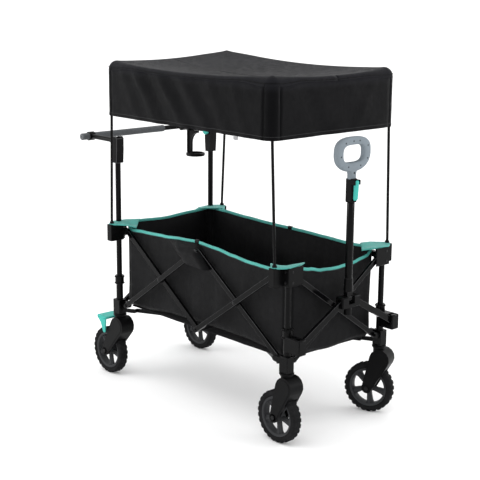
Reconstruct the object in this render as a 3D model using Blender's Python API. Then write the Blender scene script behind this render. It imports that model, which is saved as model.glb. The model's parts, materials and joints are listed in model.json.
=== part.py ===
"""A folding pull wagon with a canopy, a pull handle at the front and a push handle at the rear.

Metres, +Z up, +X to the front, +Y to the left. The origin is on the ground, in the middle of the
whole wagon's length and width. Pieces are built around the frame's own centre, on the ground
between the four posts, and the empty "wagon" carries them to their place.
"""
import math

import bmesh
import bpy
from mathutils import Matrix, Vector

# Driving dimensions.
CENTRE_X = 0.04775  # the frame's centre, forward of the middle of the whole length
HALF_X = 0.420  # post axes, along the wagon
HALF_Y = 0.210  # post axes, across the wagon
PIVOT_LOW = 0.268  # height of the lower scissor pivots
PIVOT_HIGH = 0.532  # height of the upper scissor pivots
INSET_SIDE = 0.045  # post axis to the side scissors' pivots
INSET_END = 0.0225  # post axis to the end scissors' pivots
WHEEL_RADIUS = 0.084
TRAIL = {"rear": 0.058, "front": 0.029}  # the axle lies this far behind the post axis
FRONT_LEFT_YAW = math.radians(20.0)  # how far the front left caster has swivelled

# Posts.
LOWER_RADIUS = 0.0120
UPPER_RADIUS = 0.0095
BORE_RADIUS = 0.0100
STEM_RADIUS = 0.0125
STEM_BORE = 0.0134
STEM_BOTTOM = 0.204
BORE_BOTTOM = 0.2065
UPPER_BOTTOM = 0.207
COLLAR = (0.340, 0.370)
COLLAR_RADIUS = 0.0155
FOOT = (0.232, 0.284)
FLANGE_BOTTOM = 0.2258
FLANGE_RADIUS = 0.0190
BRACKET = (0.503, 0.561)
BLOCK_INNER = 0.0135  # how far foot and bracket reach inwards across the wagon
BLOCK_HALF = 0.0180
POLE_SOCKET = (0.0300, 0.0050, 0.0545)  # inboard faces and outward reach of the pole's socket
COVER = (0.0142, 0.0185, 0.0460)  # a bracket's cover over the end bar: inner and outer face, reach

# Scissor bars lie in two layers, either side of the plane through the post axes.
LAYER = 0.0060
BAR_THICKNESS = 0.0100
BAR_HALF = 0.0080
TONGUE_HALF = 0.0090
PIN_RADIUS = 0.0038
HOLE_RADIUS = 0.0048
HEAD_RADIUS = 0.0065
HEAD_THICKNESS = 0.0022
GAP = 0.0003

# Floor arms.
ARM_Z = 0.246
ARM_REACH = 0.062  # post axis to the arm's pivot, along the diagonal
ARM_LENGTH = 0.320
ARM_HALF = 0.0065
ARM_THICKNESS = 0.0080

# Casters.
NECK_RADIUS = 0.0185
KNEE = (0.012, 0.188, 0.034)  # x, z and radius of the knee
AXLE_BOSS = 0.017
FORK_HALF = 0.0265
WHEEL_SLOT = (0.0885, 0.0190)  # radius and half width of the room for the wheel
AXLE_RADIUS = 0.0040
TYRE_HALF = 0.0165
TYRE_BORE = 0.0640
RIM_RADIUS = 0.0637
WHEEL_SIDES = 28
SPOKES = 5
SPOKE_PHASE = math.radians(12.0)

# Canopy.
POLE_RADIUS = 0.0045
POLE_X = 0.403
POLE_Y = 0.252
POLE_TOP = (0.388, 0.2555, 1.105)
POLE_KNEE = (0.390, 0.2555, 0.930)
CANOPY_HALF = (0.4035, 0.2735)
CANOPY_Z = (0.940, 1.130)
CANOPY_WALL = 0.0025

# Basket.
BASKET_HALF = (0.402, 0.190)
BASKET_Z = (0.2565, 0.568)
BASKET_WALL = 0.004
BASKET_CORNER = 0.030

# Pull handle.
YOKE_X = 0.470
YOKE_LOW = 0.324  # height of the yoke arms' pivots on the front posts
YOKE_HIGH = 0.428  # height of their pivots on the hub
YOKE_INNER = 0.027  # the hub's pivots, from the middle
YOKE_THICKNESS = 0.012
YOKE_ARM_HALF = 0.0100
OPEN_HOLE = 0.0070  # the left arm's hub hole: the hub's path isn't quite this linkage's circle
TILT_Z = 0.4365
PULL_OUTER = 0.0105
PULL_BORE = 0.0090
PULL_INNER = 0.0085
PULL_TOP = 0.735
HOUSING = (0.738, 0.812)
GRIP_BOTTOM = 0.836
GRIP_HEIGHT = 0.102
GRIP_WIDTH = 0.150
GRIP_THICKNESS = 0.022
TRIGGER_PIVOT = (0.4905, 0.801)

# Push handle.
PUSH_Z = 0.843
PUSH_X = -0.576
PUSH_BAR_RADIUS = 0.0120
PUSH_ROD_RADIUS = 0.0085
PUSH_BAR_BORE = 0.0090
PUSH_BAR_ENDS = (-0.250, 0.115)
SOCKET = (0.768, 0.859)
CUP_X = -0.505
CUP_Z = 0.746

TUBE_SIDES = 12
PIN_SIDES = 8

ENDS = {"rear": -1, "front": 1}
SIDES = {"right": -1, "left": 1}
CORNERS = [(end, side) for end in ENDS for side in SIDES]

X_AXIS = Vector((1, 0, 0))
Y_AXIS = Vector((0, 1, 0))
Z_AXIS = Vector((0, 0, 1))


# Scene helpers.


def clear_scene():
    for obj in list(bpy.data.objects):
        bpy.data.objects.remove(obj)


def new_collection(name):
    collection = bpy.data.collections.new(name)
    bpy.context.scene.collection.children.link(collection)
    return collection


def new_material(name, colour, roughness, metallic=0.0):
    material = bpy.data.materials.new(name)
    material.use_nodes = True
    shader = material.node_tree.nodes["Principled BSDF"]
    shader.inputs["Base Color"].default_value = (*colour, 1.0)
    shader.inputs["Roughness"].default_value = roughness
    shader.inputs["Metallic"].default_value = metallic
    return material


clear_scene()
PARTS = new_collection("pull_wagon")
CUTTERS = new_collection("cutters")
WAGON = bpy.data.objects.new("wagon", None)
WAGON.location = (CENTRE_X, 0, 0)
PARTS.objects.link(WAGON)

MATERIALS = {
    "black_steel": new_material("black_steel", (0.018, 0.018, 0.020), 0.45, 0.3),
    "black_plastic": new_material("black_plastic", (0.022, 0.022, 0.024), 0.55),
    "black_rubber": new_material("black_rubber", (0.020, 0.020, 0.021), 0.80),
    "rim_grey": new_material("rim_grey", (0.075, 0.077, 0.080), 0.50),
    "teal_plastic": new_material("teal_plastic", (0.080, 0.640, 0.540), 0.45),
    "grip_grey": new_material("grip_grey", (0.190, 0.220, 0.245), 0.60),
    "canopy_fabric": new_material("canopy_fabric", (0.030, 0.030, 0.035), 0.90),
    "basket_fabric": new_material("basket_fabric", (0.015, 0.015, 0.016), 0.90),
}


# Mesh makers. Each returns a mesh in the frame's own coordinates.


def finish_mesh(bm, name):
    mesh = bpy.data.meshes.new(name)
    bm.to_mesh(mesh)
    bm.free()
    mesh.shade_smooth()
    mesh.set_sharp_from_angle(angle=math.radians(35))
    return mesh


def frame_matrix(origin, along, normal):
    """Local X runs along, local Z is the normal, and the origin is at origin."""
    x = Vector(along).normalized()
    z = Vector(normal).normalized()
    y = z.cross(x)
    return Matrix.Translation(origin) @ Matrix((x, y, z)).transposed().to_4x4()


def cylinder(start, end, radius, sides=TUBE_SIDES, end_radius=None):
    start, end = Vector(start), Vector(end)
    bm = bmesh.new()
    bmesh.ops.create_cone(
        bm,
        cap_ends=True,
        segments=sides,
        radius1=radius,
        radius2=radius if end_radius is None else end_radius,
        depth=(end - start).length,
    )
    turn = Z_AXIS.rotation_difference(end - start).to_matrix().to_4x4()
    bm.transform(Matrix.Translation((start + end) / 2) @ turn)
    return finish_mesh(bm, "cylinder")


def box(low, high, bevel=0.0):
    low, high = Vector(low), Vector(high)
    bm = bmesh.new()
    bmesh.ops.create_cube(bm, size=1.0)
    bm.transform(Matrix.Translation((low + high) / 2) @ Matrix.Diagonal((*(high - low), 1.0)))
    if bevel:
        bmesh.ops.bevel(bm, geom=bm.edges[:], offset=bevel, segments=1, affect="EDGES")
    return finish_mesh(bm, "box")


def arc(centre, radius, start, end, steps):
    """Points on an arc, angles in degrees, both ends included."""
    angles = [math.radians(start + (end - start) * i / steps) for i in range(steps + 1)]
    return [(centre[0] + radius * math.cos(a), centre[1] + radius * math.sin(a)) for a in angles]


def circle(centre, radius, sides=PIN_SIDES):
    return arc(centre, radius, 0, 360 - 360 / sides, sides - 1)


def stadium(length, radius, steps=4):
    return arc((0, 0), radius, 90, 270, steps) + arc((length, 0), radius, -90, 90, steps)


def belt(first, first_radius, second, second_radius, steps=8):
    """The outline of a belt around two circles."""
    span = Vector(second) - Vector(first)
    heading = math.degrees(math.atan2(span.y, span.x))
    lean = math.degrees(math.acos((first_radius - second_radius) / span.length))
    far = arc(first, first_radius, heading + lean, heading + 360 - lean, steps)
    return far + arc(second, second_radius, heading - lean, heading + lean, steps)


def rounded_rectangle(half_x, half_y, radius, steps=4):
    points = []
    for sx, sy, start in ((1, 1, 0), (-1, 1, 90), (-1, -1, 180), (1, -1, 270)):
        centre = (sx * (half_x - radius), sy * (half_y - radius))
        points += arc(centre, radius, start, start + 90, steps)
    return points


def plate(loops, thickness, matrix):
    """A flat outline with holes: local X and Y hold the outline, and Z is its thickness."""
    curve = bpy.data.curves.new("outline", "CURVE")
    curve.dimensions = "2D"
    curve.fill_mode = "BOTH"
    curve.extrude = thickness / 2
    for loop in loops:
        spline = curve.splines.new("POLY")
        spline.points.add(len(loop) - 1)
        for point, (x, y) in zip(spline.points, loop):
            point.co = (x, y, 0, 1)
        spline.use_cyclic_u = True
    return curve_mesh(curve, matrix)


def tube(points, radius, resolution=2, cyclic=False):
    """A round bar along a path of points."""
    curve = bpy.data.curves.new("path", "CURVE")
    curve.dimensions = "3D"
    curve.bevel_depth = radius
    curve.bevel_resolution = resolution
    curve.use_fill_caps = not cyclic
    spline = curve.splines.new("POLY")
    spline.points.add(len(points) - 1)
    for point, place in zip(spline.points, points):
        point.co = (*place, 1)
    spline.use_cyclic_u = cyclic
    return curve_mesh(curve, Matrix.Identity(4))


def curve_mesh(curve, matrix):
    """The curve as one closed mesh, its caps welded on."""
    guide = bpy.data.objects.new("guide", curve)
    CUTTERS.objects.link(guide)
    evaluated = guide.evaluated_get(bpy.context.evaluated_depsgraph_get())
    mesh = bpy.data.meshes.new_from_object(evaluated)
    bpy.data.objects.remove(guide)
    bm = bmesh.new()
    bm.from_mesh(mesh)
    bmesh.ops.remove_doubles(bm, verts=bm.verts, dist=1e-5)
    bmesh.ops.recalc_face_normals(bm, faces=bm.faces)
    bm.transform(matrix)
    return finish_mesh(bm, "outline")


def turned(profile, centre, sides=WHEEL_SIDES):
    """A ring about the Y axis through centre, from a closed profile of (radius, y) points."""
    bm = bmesh.new()
    rings = []
    for i in range(sides):
        # half a step of turn puts a flat of the ring at the bottom
        turn = 2 * math.pi * (i + 0.5) / sides
        rings.append([bm.verts.new((r * math.sin(turn), y, -r * math.cos(turn))) for r, y in profile])
    for i, ring in enumerate(rings):
        following = rings[(i + 1) % sides]
        for j in range(len(profile)):
            k = (j + 1) % len(profile)
            bm.faces.new((ring[j], ring[k], following[k], following[j]))
    bmesh.ops.recalc_face_normals(bm, faces=bm.faces)
    bm.transform(Matrix.Translation(centre))
    return finish_mesh(bm, "ring")


# Nodes.


def operand(mesh, node, operation, index, matrix):
    cutter = bpy.data.objects.new(f"{node.name}_{operation.lower()}_{index}", mesh)
    cutter.hide_render = True
    cutter.display_type = "WIRE"
    CUTTERS.objects.link(cutter)
    cutter.parent = WAGON
    cutter.matrix_local = matrix
    modifier = node.modifiers.new(f"{operation.lower()}_{index}", "BOOLEAN")
    modifier.operation = operation
    modifier.object = cutter


def make_node(name, material, pivot, add, cut=(), matrix=None):
    """One solid: the first mesh, joined with the rest of add, and cut by each mesh of cut.
    pivot is the object's own origin, on the axis it moves about. matrix turns or moves the
    whole piece, and the pivot with it."""
    matrix = Matrix.Identity(4) if matrix is None else matrix
    pivot = Vector(pivot)
    body = add[0]
    body.name = name
    body.transform(Matrix.Translation(-pivot))
    node = bpy.data.objects.new(name, body)
    PARTS.objects.link(node)
    node.parent = WAGON
    node.matrix_local = matrix @ Matrix.Translation(pivot)
    node.data.materials.append(MATERIALS[material])
    for index, mesh in enumerate(add[1:]):
        operand(mesh, node, "UNION", index, matrix)
    for index, mesh in enumerate(cut):
        operand(mesh, node, "DIFFERENCE", index, matrix)
    return node


# Frame.


def layer_point(point, outward, layer):
    return Vector(point) + Vector(outward) * layer * LAYER


def pin(point, outward, toward):
    """A rivet through the bar in the layer it points toward, and its head. point is on the plane
    between the layers."""
    outward = Vector(outward)
    root = layer_point(point, outward, -toward)
    bar_face = LAYER + BAR_THICKNESS / 2 + GAP
    head = Vector(point) + outward * toward * bar_face
    tip = head + outward * toward * HEAD_THICKNESS
    return [cylinder(root, tip, PIN_RADIUS, PIN_SIDES), cylinder(head, tip, HEAD_RADIUS, PIN_SIDES)]


def tongue(corner, inward, outward, reach, height, layer):
    """The flat lug that holds a bar's pin, with the pin. It reaches inward from the post's axis."""
    start = Vector((corner.x, corner.y, height))
    matrix = frame_matrix(layer_point(start, outward, layer), inward, outward)
    lug = plate([stadium(reach, TONGUE_HALF)], BAR_THICKNESS, matrix)
    return [lug, *pin(start + Vector(inward) * reach, outward, -layer)]


def bar(start, end, outward, layer, holes, pins):
    """A scissor bar between two pivots. holes and pins are places along it, from 0 to 1."""
    start, end, outward = Vector(start), Vector(end), Vector(outward)
    span = end - start
    matrix = frame_matrix(layer_point(start, outward, layer), span, outward)
    loops = [stadium(span.length, BAR_HALF)]
    loops += [circle((span.length * place, 0), HOLE_RADIUS) for place in holes]
    pieces = [plate(loops, BAR_THICKNESS, matrix)]
    for place in pins:
        pieces += pin(start + span * place, outward, -layer)
    return pieces


def corner_point(end, side):
    return Vector((ENDS[end] * HALF_X, SIDES[side] * HALF_Y, 0))


def diagonal(end, side):
    """From a post's foot toward the middle of the floor."""
    return Vector((-ENDS[end] * HALF_X, -SIDES[side] * HALF_Y, 0)).normalized()


def block(corner, end, side, inboard, outboard, inner, outer, heights):
    """A box around a post: inboard and outboard along X, inner and outer along Y."""
    xs = sorted((corner.x - ENDS[end] * inboard, corner.x + ENDS[end] * outboard))
    ys = sorted((corner.y - SIDES[side] * inner, corner.y + SIDES[side] * outer))
    return box((xs[0], ys[0], heights[0]), (xs[1], ys[1], heights[1]), bevel=0.0015)


def truss_tongues(end, side, height, side_layer, end_layer):
    corner = corner_point(end, side)
    along = -X_AXIS * ENDS[end]
    across = -Y_AXIS * SIDES[side]
    lugs = tongue(corner, along, -across, INSET_SIDE, height, side_layer)
    return lugs + tongue(corner, across, -along, INSET_END, height, end_layer)


def floor_arm_lug(end, side):
    inward = diagonal(end, side)
    start = corner_point(end, side) + Z_AXIS * ARM_Z
    normal = inward.cross(Z_AXIS)
    matrix = frame_matrix(start + normal * LAYER, inward, normal)
    lug = plate([stadium(ARM_REACH, ARM_HALF)], ARM_THICKNESS, matrix)
    pivot = start + inward * ARM_REACH
    far = LAYER + ARM_THICKNESS / 2 + GAP
    head = pivot - normal * far
    tip = head - normal * HEAD_THICKNESS
    shank = cylinder(pivot + normal * LAYER, tip, PIN_RADIUS, PIN_SIDES)
    return [lug, shank, cylinder(head, tip, HEAD_RADIUS - 0.001, PIN_SIDES)]


def yoke_block(end, side):
    """The clevis in front of a front post's foot, which holds a yoke arm."""
    corner = corner_point(end, side)
    body = box(
        (corner.x + 0.004, corner.y - 0.016, YOKE_LOW - 0.025),
        (YOKE_X + 0.017, corner.y + 0.016, YOKE_LOW + 0.024),
        bevel=0.003,
    )
    shank = cylinder(
        (YOKE_X - 0.014, corner.y, YOKE_LOW), (YOKE_X + 0.014, corner.y, YOKE_LOW), PIN_RADIUS, PIN_SIDES
    )
    inner = -SIDES[side]
    ys = sorted((corner.y - inner * 0.0112, corner.y + inner * 0.030))
    half = YOKE_THICKNESS / 2 + 0.0007
    slot = box((YOKE_X - half, ys[0], YOKE_LOW - 0.0110), (YOKE_X + half, ys[1], YOKE_LOW + 0.04))
    return body, slot, shank


def lower_post(end, side):
    corner = corner_point(end, side)

    def at(z):
        return (corner.x, corner.y, z)

    add = [
        cylinder(at(STEM_BOTTOM), at(FOOT[0] + 0.01), STEM_RADIUS),
        cylinder(at(FLANGE_BOTTOM), at(FOOT[0] + 0.002), FLANGE_RADIUS),
        block(corner, end, side, BLOCK_HALF, BLOCK_HALF, BLOCK_INNER, 0.0165, FOOT),
        cylinder(at(FOOT[1] - 0.004), at(COLLAR[1] - 0.002), LOWER_RADIUS),
        cylinder(at(COLLAR[0]), at(COLLAR[1]), COLLAR_RADIUS),
    ]
    add += truss_tongues(end, side, PIVOT_LOW, ENDS[end], SIDES[side])
    add += floor_arm_lug(end, side)
    cut = [cylinder(at(BORE_BOTTOM), at(COLLAR[1] + 0.02), BORE_RADIUS + 0.0001)]
    if end == "front":
        body, slot, shank = yoke_block(end, side)
        node_parts = [body, *add]
        return make_clevis_post(end, side, corner, node_parts, slot, shank, cut)
    return make_node(f"lower_post_{end}_{side}", "black_steel", corner, add, cut)


def make_clevis_post(end, side, corner, add, slot, shank, cut):
    """A front post: its clevis is slotted first, so that the slot leaves the pin whole."""
    name = f"lower_post_{end}_{side}"
    node = make_node(name, "black_steel", corner, add[:1], [slot])
    for index, mesh in enumerate([shank, *add[1:]]):
        operand(mesh, node, "UNION", index, Matrix.Identity(4))
    for index, mesh in enumerate(cut, start=1):
        operand(mesh, node, "DIFFERENCE", index, Matrix.Identity(4))
    return node


def upper_post(end, side):
    corner = corner_point(end, side)

    def at(z):
        return (corner.x, corner.y, z)

    if end == "front":
        add = [cylinder(at(UPPER_BOTTOM), at(BRACKET[1] - 0.008), UPPER_RADIUS)]
        return make_node(f"upper_post_{end}_{side}", "black_steel", corner, add)
    # The hinge housing narrows to the tube below its middle.
    wide, narrow = 0.0145, 0.0115
    shoulder = SOCKET[0] + 0.045
    outline = [
        (corner.x - narrow, SOCKET[0]),
        (corner.x + narrow, SOCKET[0]),
        (corner.x + wide, shoulder),
        (corner.x + wide, SOCKET[1] - 0.006),
        (corner.x + wide - 0.006, SOCKET[1]),
        (corner.x - wide + 0.006, SOCKET[1]),
        (corner.x - wide, SOCKET[1] - 0.006),
        (corner.x - wide, shoulder),
    ]
    add = [plate([outline], 0.031, frame_matrix((0, corner.y, 0), X_AXIS, -Y_AXIS))]
    slot = box(
        (corner.x - 0.030, corner.y - 0.0065, PUSH_Z - 0.0165),
        (corner.x + 0.0125, corner.y + 0.0065, SOCKET[1] + 0.01),
    )
    node = make_node(f"upper_post_{end}_{side}", "black_steel", corner, add, [slot])
    pieces = [
        cylinder(at(UPPER_BOTTOM), at(SOCKET[0] + 0.02), UPPER_RADIUS),
        cylinder(
            (corner.x, corner.y - 0.0085, PUSH_Z), (corner.x, corner.y + 0.012, PUSH_Z), PIN_RADIUS, PIN_SIDES
        ),
    ]
    for index, mesh in enumerate(pieces):
        operand(mesh, node, "UNION", index, Matrix.Identity(4))
    if side == "left":
        guide = cylinder((corner.x, corner.y - 0.009, PUSH_Z), (corner.x, corner.y - 0.03, PUSH_Z), 0.0065)
        operand(guide, node, "DIFFERENCE", 1, Matrix.Identity(4))
    return node


def top_bracket(end, side):
    corner = corner_point(end, side)
    pole = Vector((ENDS[end] * POLE_X, SIDES[side] * POLE_Y, 0))
    near, far, reach = POLE_SOCKET
    cover_in, cover_out, cover_reach = COVER
    add = [
        block(corner, end, side, BLOCK_HALF, BLOCK_HALF, BLOCK_INNER, 0.0165, BRACKET),
        block(corner, end, side, near, -far, 0.0, reach, BRACKET),
        block(corner, end, side, -cover_in, cover_out, cover_reach, 0.012, BRACKET),
    ]
    add += truss_tongues(end, side, PIVOT_HIGH, -ENDS[end], -SIDES[side])
    top = BRACKET[1] + 0.01 if end == "rear" else BRACKET[1] - 0.006
    post_bore = cylinder((corner.x, corner.y, BRACKET[0] - 0.01), (corner.x, corner.y, top), BORE_RADIUS)
    pole_bore = cylinder(
        (pole.x, pole.y, 0.530), (pole.x, pole.y, BRACKET[1] + 0.01), POLE_RADIUS + 0.0004, PIN_SIDES
    )
    return make_node(f"top_bracket_{end}_{side}", "black_plastic", corner, add, [post_bore, pole_bore])


def canopy_pole(end, side):
    sx, sy = ENDS[end], SIDES[side]
    points = [
        (sx * POLE_X, sy * POLE_Y, 0.531),
        (sx * POLE_X, sy * POLE_Y, 0.585),
        (sx * POLE_KNEE[0], sy * POLE_KNEE[1], POLE_KNEE[2]),
        (sx * POLE_TOP[0], sy * POLE_TOP[1], POLE_TOP[2]),
    ]
    add = [tube(points, POLE_RADIUS)]
    return make_node(f"canopy_pole_{end}_{side}", "black_steel", points[0], add)


def side_bars(side):
    outward = Y_AXIS * SIDES[side]
    reach = HALF_X - INSET_SIDE
    y = SIDES[side] * HALF_Y
    low_rear, high_rear = Vector((-reach, y, PIVOT_LOW)), Vector((-reach, y, PIVOT_HIGH))
    low_mid, high_mid = Vector((0, y, PIVOT_LOW)), Vector((0, y, PIVOT_HIGH))
    low_front, high_front = Vector((reach, y, PIVOT_LOW)), Vector((reach, y, PIVOT_HIGH))
    # name, start, end, layer, holes, pins
    bars = [
        ("rear_rising", low_rear, high_mid, 1, (0,), (0.5, 1)),
        ("rear_falling", high_rear, low_mid, -1, (0, 0.5), (1,)),
        ("front_rising", low_mid, high_front, 1, (0, 1), (0.5,)),
        ("front_falling", high_mid, low_front, -1, (0, 0.5, 1), ()),
    ]
    for name, start, end, layer, holes, pins in bars:
        pieces = bar(start, end, outward, layer, holes, pins)
        make_node(f"side_bar_{side}_{name}", "black_steel", start, pieces)


def end_bars(end):
    outward = X_AXIS * ENDS[end]
    reach = HALF_Y - INSET_END
    x = ENDS[end] * HALF_X
    low_right, high_right = Vector((x, -reach, PIVOT_LOW)), Vector((x, -reach, PIVOT_HIGH))
    low_left, high_left = Vector((x, reach, PIVOT_LOW)), Vector((x, reach, PIVOT_HIGH))
    bars = [
        ("rising", low_right, high_left, 1, (0, 1), (0.5,)),
        ("falling", high_right, low_left, -1, (0, 0.5, 1), ()),
    ]
    for name, start, finish, layer, holes, pins in bars:
        pieces = bar(start, finish, outward, layer, holes, pins)
        make_node(f"end_bar_{end}_{name}", "black_steel", start, pieces)


def floor_arm(end, side):
    inward = diagonal(end, side)
    normal = inward.cross(Z_AXIS)
    pivot = corner_point(end, side) + inward * ARM_REACH + Z_AXIS * ARM_Z
    matrix = frame_matrix(pivot - normal * LAYER, inward, normal)
    add = [plate([stadium(ARM_LENGTH, ARM_HALF), circle((0, 0), HOLE_RADIUS)], ARM_THICKNESS, matrix)]
    make_node(f"floor_arm_{end}_{side}", "black_steel", pivot, add)


# Casters. Each is built about its own post's axis, and placed by a matrix.


def caster_matrix(end, side):
    yaw = FRONT_LEFT_YAW if (end, side) == ("front", "left") else 0.0
    return Matrix.Translation(corner_point(end, side)) @ Matrix.Rotation(yaw, 4, "Z")


def fork(end, side):
    upright = frame_matrix((0, 0, 0), X_AXIS, -Y_AXIS)
    profile = belt(KNEE[:2], KNEE[2], (-TRAIL[end], WHEEL_RADIUS), AXLE_BOSS)
    body = plate([profile], 2 * FORK_HALF, upright)
    neck = cylinder((0, 0, KNEE[1] - 0.005), (0, 0, FLANGE_BOTTOM - GAP), NECK_RADIUS)
    axle = Vector((-TRAIL[end], 0, WHEEL_RADIUS))
    reach, half = WHEEL_SLOT
    room = cylinder(axle - Y_AXIS * half, axle + Y_AXIS * half, reach, WHEEL_SIDES)
    bore = cylinder((0, 0, STEM_BOTTOM - GAP), (0, 0, FLANGE_BOTTOM + 0.01), STEM_BORE)
    name = f"fork_{end}_{side}"
    matrix = caster_matrix(end, side)
    node = make_node(name, "black_plastic", (0, 0, 0), [body, neck], [room, bore], matrix)
    bolt_end = Y_AXIS * (FORK_HALF + 0.004)
    bolts = [
        cylinder(axle - Y_AXIS * (FORK_HALF - 0.002), axle + Y_AXIS * (FORK_HALF - 0.002), AXLE_RADIUS, PIN_SIDES),
        cylinder(axle + Y_AXIS * (FORK_HALF - 0.003), axle + bolt_end, 0.0075, 6),
        cylinder(axle - Y_AXIS * (FORK_HALF - 0.003), axle - bolt_end, 0.0075, 6),
    ]
    for index, mesh in enumerate(bolts, start=1):
        operand(mesh, node, "UNION", index, matrix)


def tyre(end, side):
    crown = WHEEL_RADIUS / math.cos(math.pi / WHEEL_SIDES)
    profile = [
        (TYRE_BORE, 0.0150),
        (0.0760, TYRE_HALF),
        (crown, 0.0115),
        (crown, -0.0115),
        (0.0760, -TYRE_HALF),
        (TYRE_BORE, -0.0150),
    ]
    matrix = caster_matrix(end, side)
    axle = (-TRAIL[end], 0, WHEEL_RADIUS)
    make_node(f"tyre_{end}_{side}", "black_rubber", axle, [turned(profile, axle)], matrix=matrix)


def rim(end, side):
    axle = Vector((-TRAIL[end], 0, WHEEL_RADIUS))
    band = [(0.0575, 0.0135), (RIM_RADIUS, 0.0150), (RIM_RADIUS, -0.0150), (0.0575, -0.0135)]
    add = [turned(band, axle), cylinder(axle - Y_AXIS * 0.0175, axle + Y_AXIS * 0.0175, 0.0150)]
    for i in range(SPOKES):
        spoke = box((-0.0070, -0.0060, 0.010), (0.0070, 0.0060, 0.0600))
        turn = Matrix.Rotation(SPOKE_PHASE + 2 * math.pi * i / SPOKES, 4, "Y")
        spoke.transform(Matrix.Translation(axle) @ turn)
        add.append(spoke)
    bore = cylinder(axle - Y_AXIS * 0.03, axle + Y_AXIS * 0.03, AXLE_RADIUS + 0.0006, PIN_SIDES)
    make_node(f"rim_{end}_{side}", "rim_grey", axle, add, [bore], caster_matrix(end, side))


def brake_pedal(side):
    """A stirrup over the rear fork: a foot pad, and a cheek down either side to its pivot."""
    pivot = (-0.050, 0.162)
    cheek = belt(pivot, 0.0070, (-0.062, 0.204), 0.012, steps=6)
    inside = FORK_HALF + 0.0045
    add = [box((-0.092, -inside - 0.004, 0.2050), (-0.036, inside + 0.004, 0.2140), bevel=0.003)]
    for sign in (-1, 1):
        centre = (0, sign * (inside + 0.002), 0)
        add.append(plate([cheek], 0.004, frame_matrix(centre, X_AXIS, -Y_AXIS)))
    place = Matrix.Translation(corner_point("rear", side))
    make_node(f"brake_pedal_{side}", "teal_plastic", (pivot[0], 0, pivot[1]), add, matrix=place)


# Soft parts.


def canopy():
    hx, hy = CANOPY_HALF
    wall = CANOPY_WALL
    low, high = CANOPY_Z
    outer = plate([rounded_rectangle(hx, hy, 0.010)], high - low, Matrix.Translation((0, 0, (low + high) / 2)))
    room = plate(
        [rounded_rectangle(hx - wall, hy - wall, 0.0075)],
        high - low,
        Matrix.Translation((0, 0, (low + high) / 2 - wall)),
    )
    make_node("canopy", "canopy_fabric", (0, 0, low), [outer], [room])


def basket():
    hx, hy = BASKET_HALF
    wall = BASKET_WALL
    low, high = BASKET_Z
    middle = Matrix.Translation((0, 0, (low + high) / 2))
    outer = plate([rounded_rectangle(hx, hy, BASKET_CORNER)], high - low, middle)
    room = plate(
        [rounded_rectangle(hx - wall, hy - wall, BASKET_CORNER - wall)],
        high - low,
        Matrix.Translation((0, 0, wall)) @ middle,
    )
    make_node("basket", "basket_fabric", (0, 0, low), [outer], [room])


# Pull handle.


def yoke_arm(side):
    start = Vector((YOKE_X, SIDES[side] * HALF_Y, YOKE_LOW))
    end = Vector((YOKE_X, SIDES[side] * YOKE_INNER, YOKE_HIGH))
    length = (end - start).length
    if side == "left":
        reach, hub_hole = length - 0.002, circle((length - 0.0008, 0), OPEN_HOLE)
    else:
        reach, hub_hole = length, circle((length, 0), HOLE_RADIUS)
    loops = [stadium(reach, YOKE_ARM_HALF), circle((0, 0), HOLE_RADIUS), hub_hole]
    matrix = frame_matrix(start, end - start, X_AXIS)
    make_node(f"yoke_arm_{side}", "black_steel", start, [plate(loops, YOKE_THICKNESS, matrix)])


def yoke_hub():
    half = YOKE_THICKNESS / 2 + 0.0007
    body = box((YOKE_X - 0.017, -0.040, 0.410), (YOKE_X + 0.017, 0.040, 0.446), bevel=0.003)
    cuts = [box((YOKE_X - 0.03, -0.0128, TILT_Z - 0.0145), (YOKE_X + 0.03, 0.0128, 0.46))]
    pins = [cylinder((YOKE_X, -0.0136, TILT_Z), (YOKE_X, 0.0136, TILT_Z), PIN_RADIUS, PIN_SIDES)]
    for sign in (-1, 1):
        ys = sorted((sign * 0.0145, sign * 0.060))
        cuts.append(box((YOKE_X - half, ys[0], 0.400), (YOKE_X + half, ys[1], YOKE_HIGH + 0.0112)))
        y = sign * YOKE_INNER
        pins.append(
            cylinder((YOKE_X - 0.013, y, YOKE_HIGH), (YOKE_X + 0.013, y, YOKE_HIGH), PIN_RADIUS, PIN_SIDES)
        )
    node = make_node("yoke_hub", "black_plastic", (YOKE_X, -YOKE_INNER, YOKE_HIGH), [body], cuts)
    stub = cylinder((YOKE_X, 0, 0.386), (YOKE_X, 0, 0.414), 0.0125)
    for index, mesh in enumerate([*pins, stub]):
        operand(mesh, node, "UNION", index, Matrix.Identity(4))


def pull_outer_tube():
    lug = cylinder((YOKE_X, -0.012, TILT_Z), (YOKE_X, 0.012, TILT_Z), 0.0115)
    add = [
        lug,
        box((YOKE_X - 0.0085, -0.012, TILT_Z), (YOKE_X + 0.0085, 0.012, 0.466)),
        cylinder((YOKE_X, 0, 0.4605), (YOKE_X, 0, 0.502), 0.0155, end_radius=0.0135),
        cylinder((YOKE_X, 0, 0.470), (YOKE_X, 0, PULL_TOP), PULL_OUTER),
    ]
    cut = [
        cylinder((YOKE_X, -0.02, TILT_Z), (YOKE_X, 0.02, TILT_Z), HOLE_RADIUS, PIN_SIDES),
        cylinder((YOKE_X, 0, 0.474), (YOKE_X, 0, PULL_TOP + 0.01), PULL_BORE),
    ]
    make_node("pull_outer_tube", "black_steel", (YOKE_X, 0, TILT_Z), add, cut)


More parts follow.
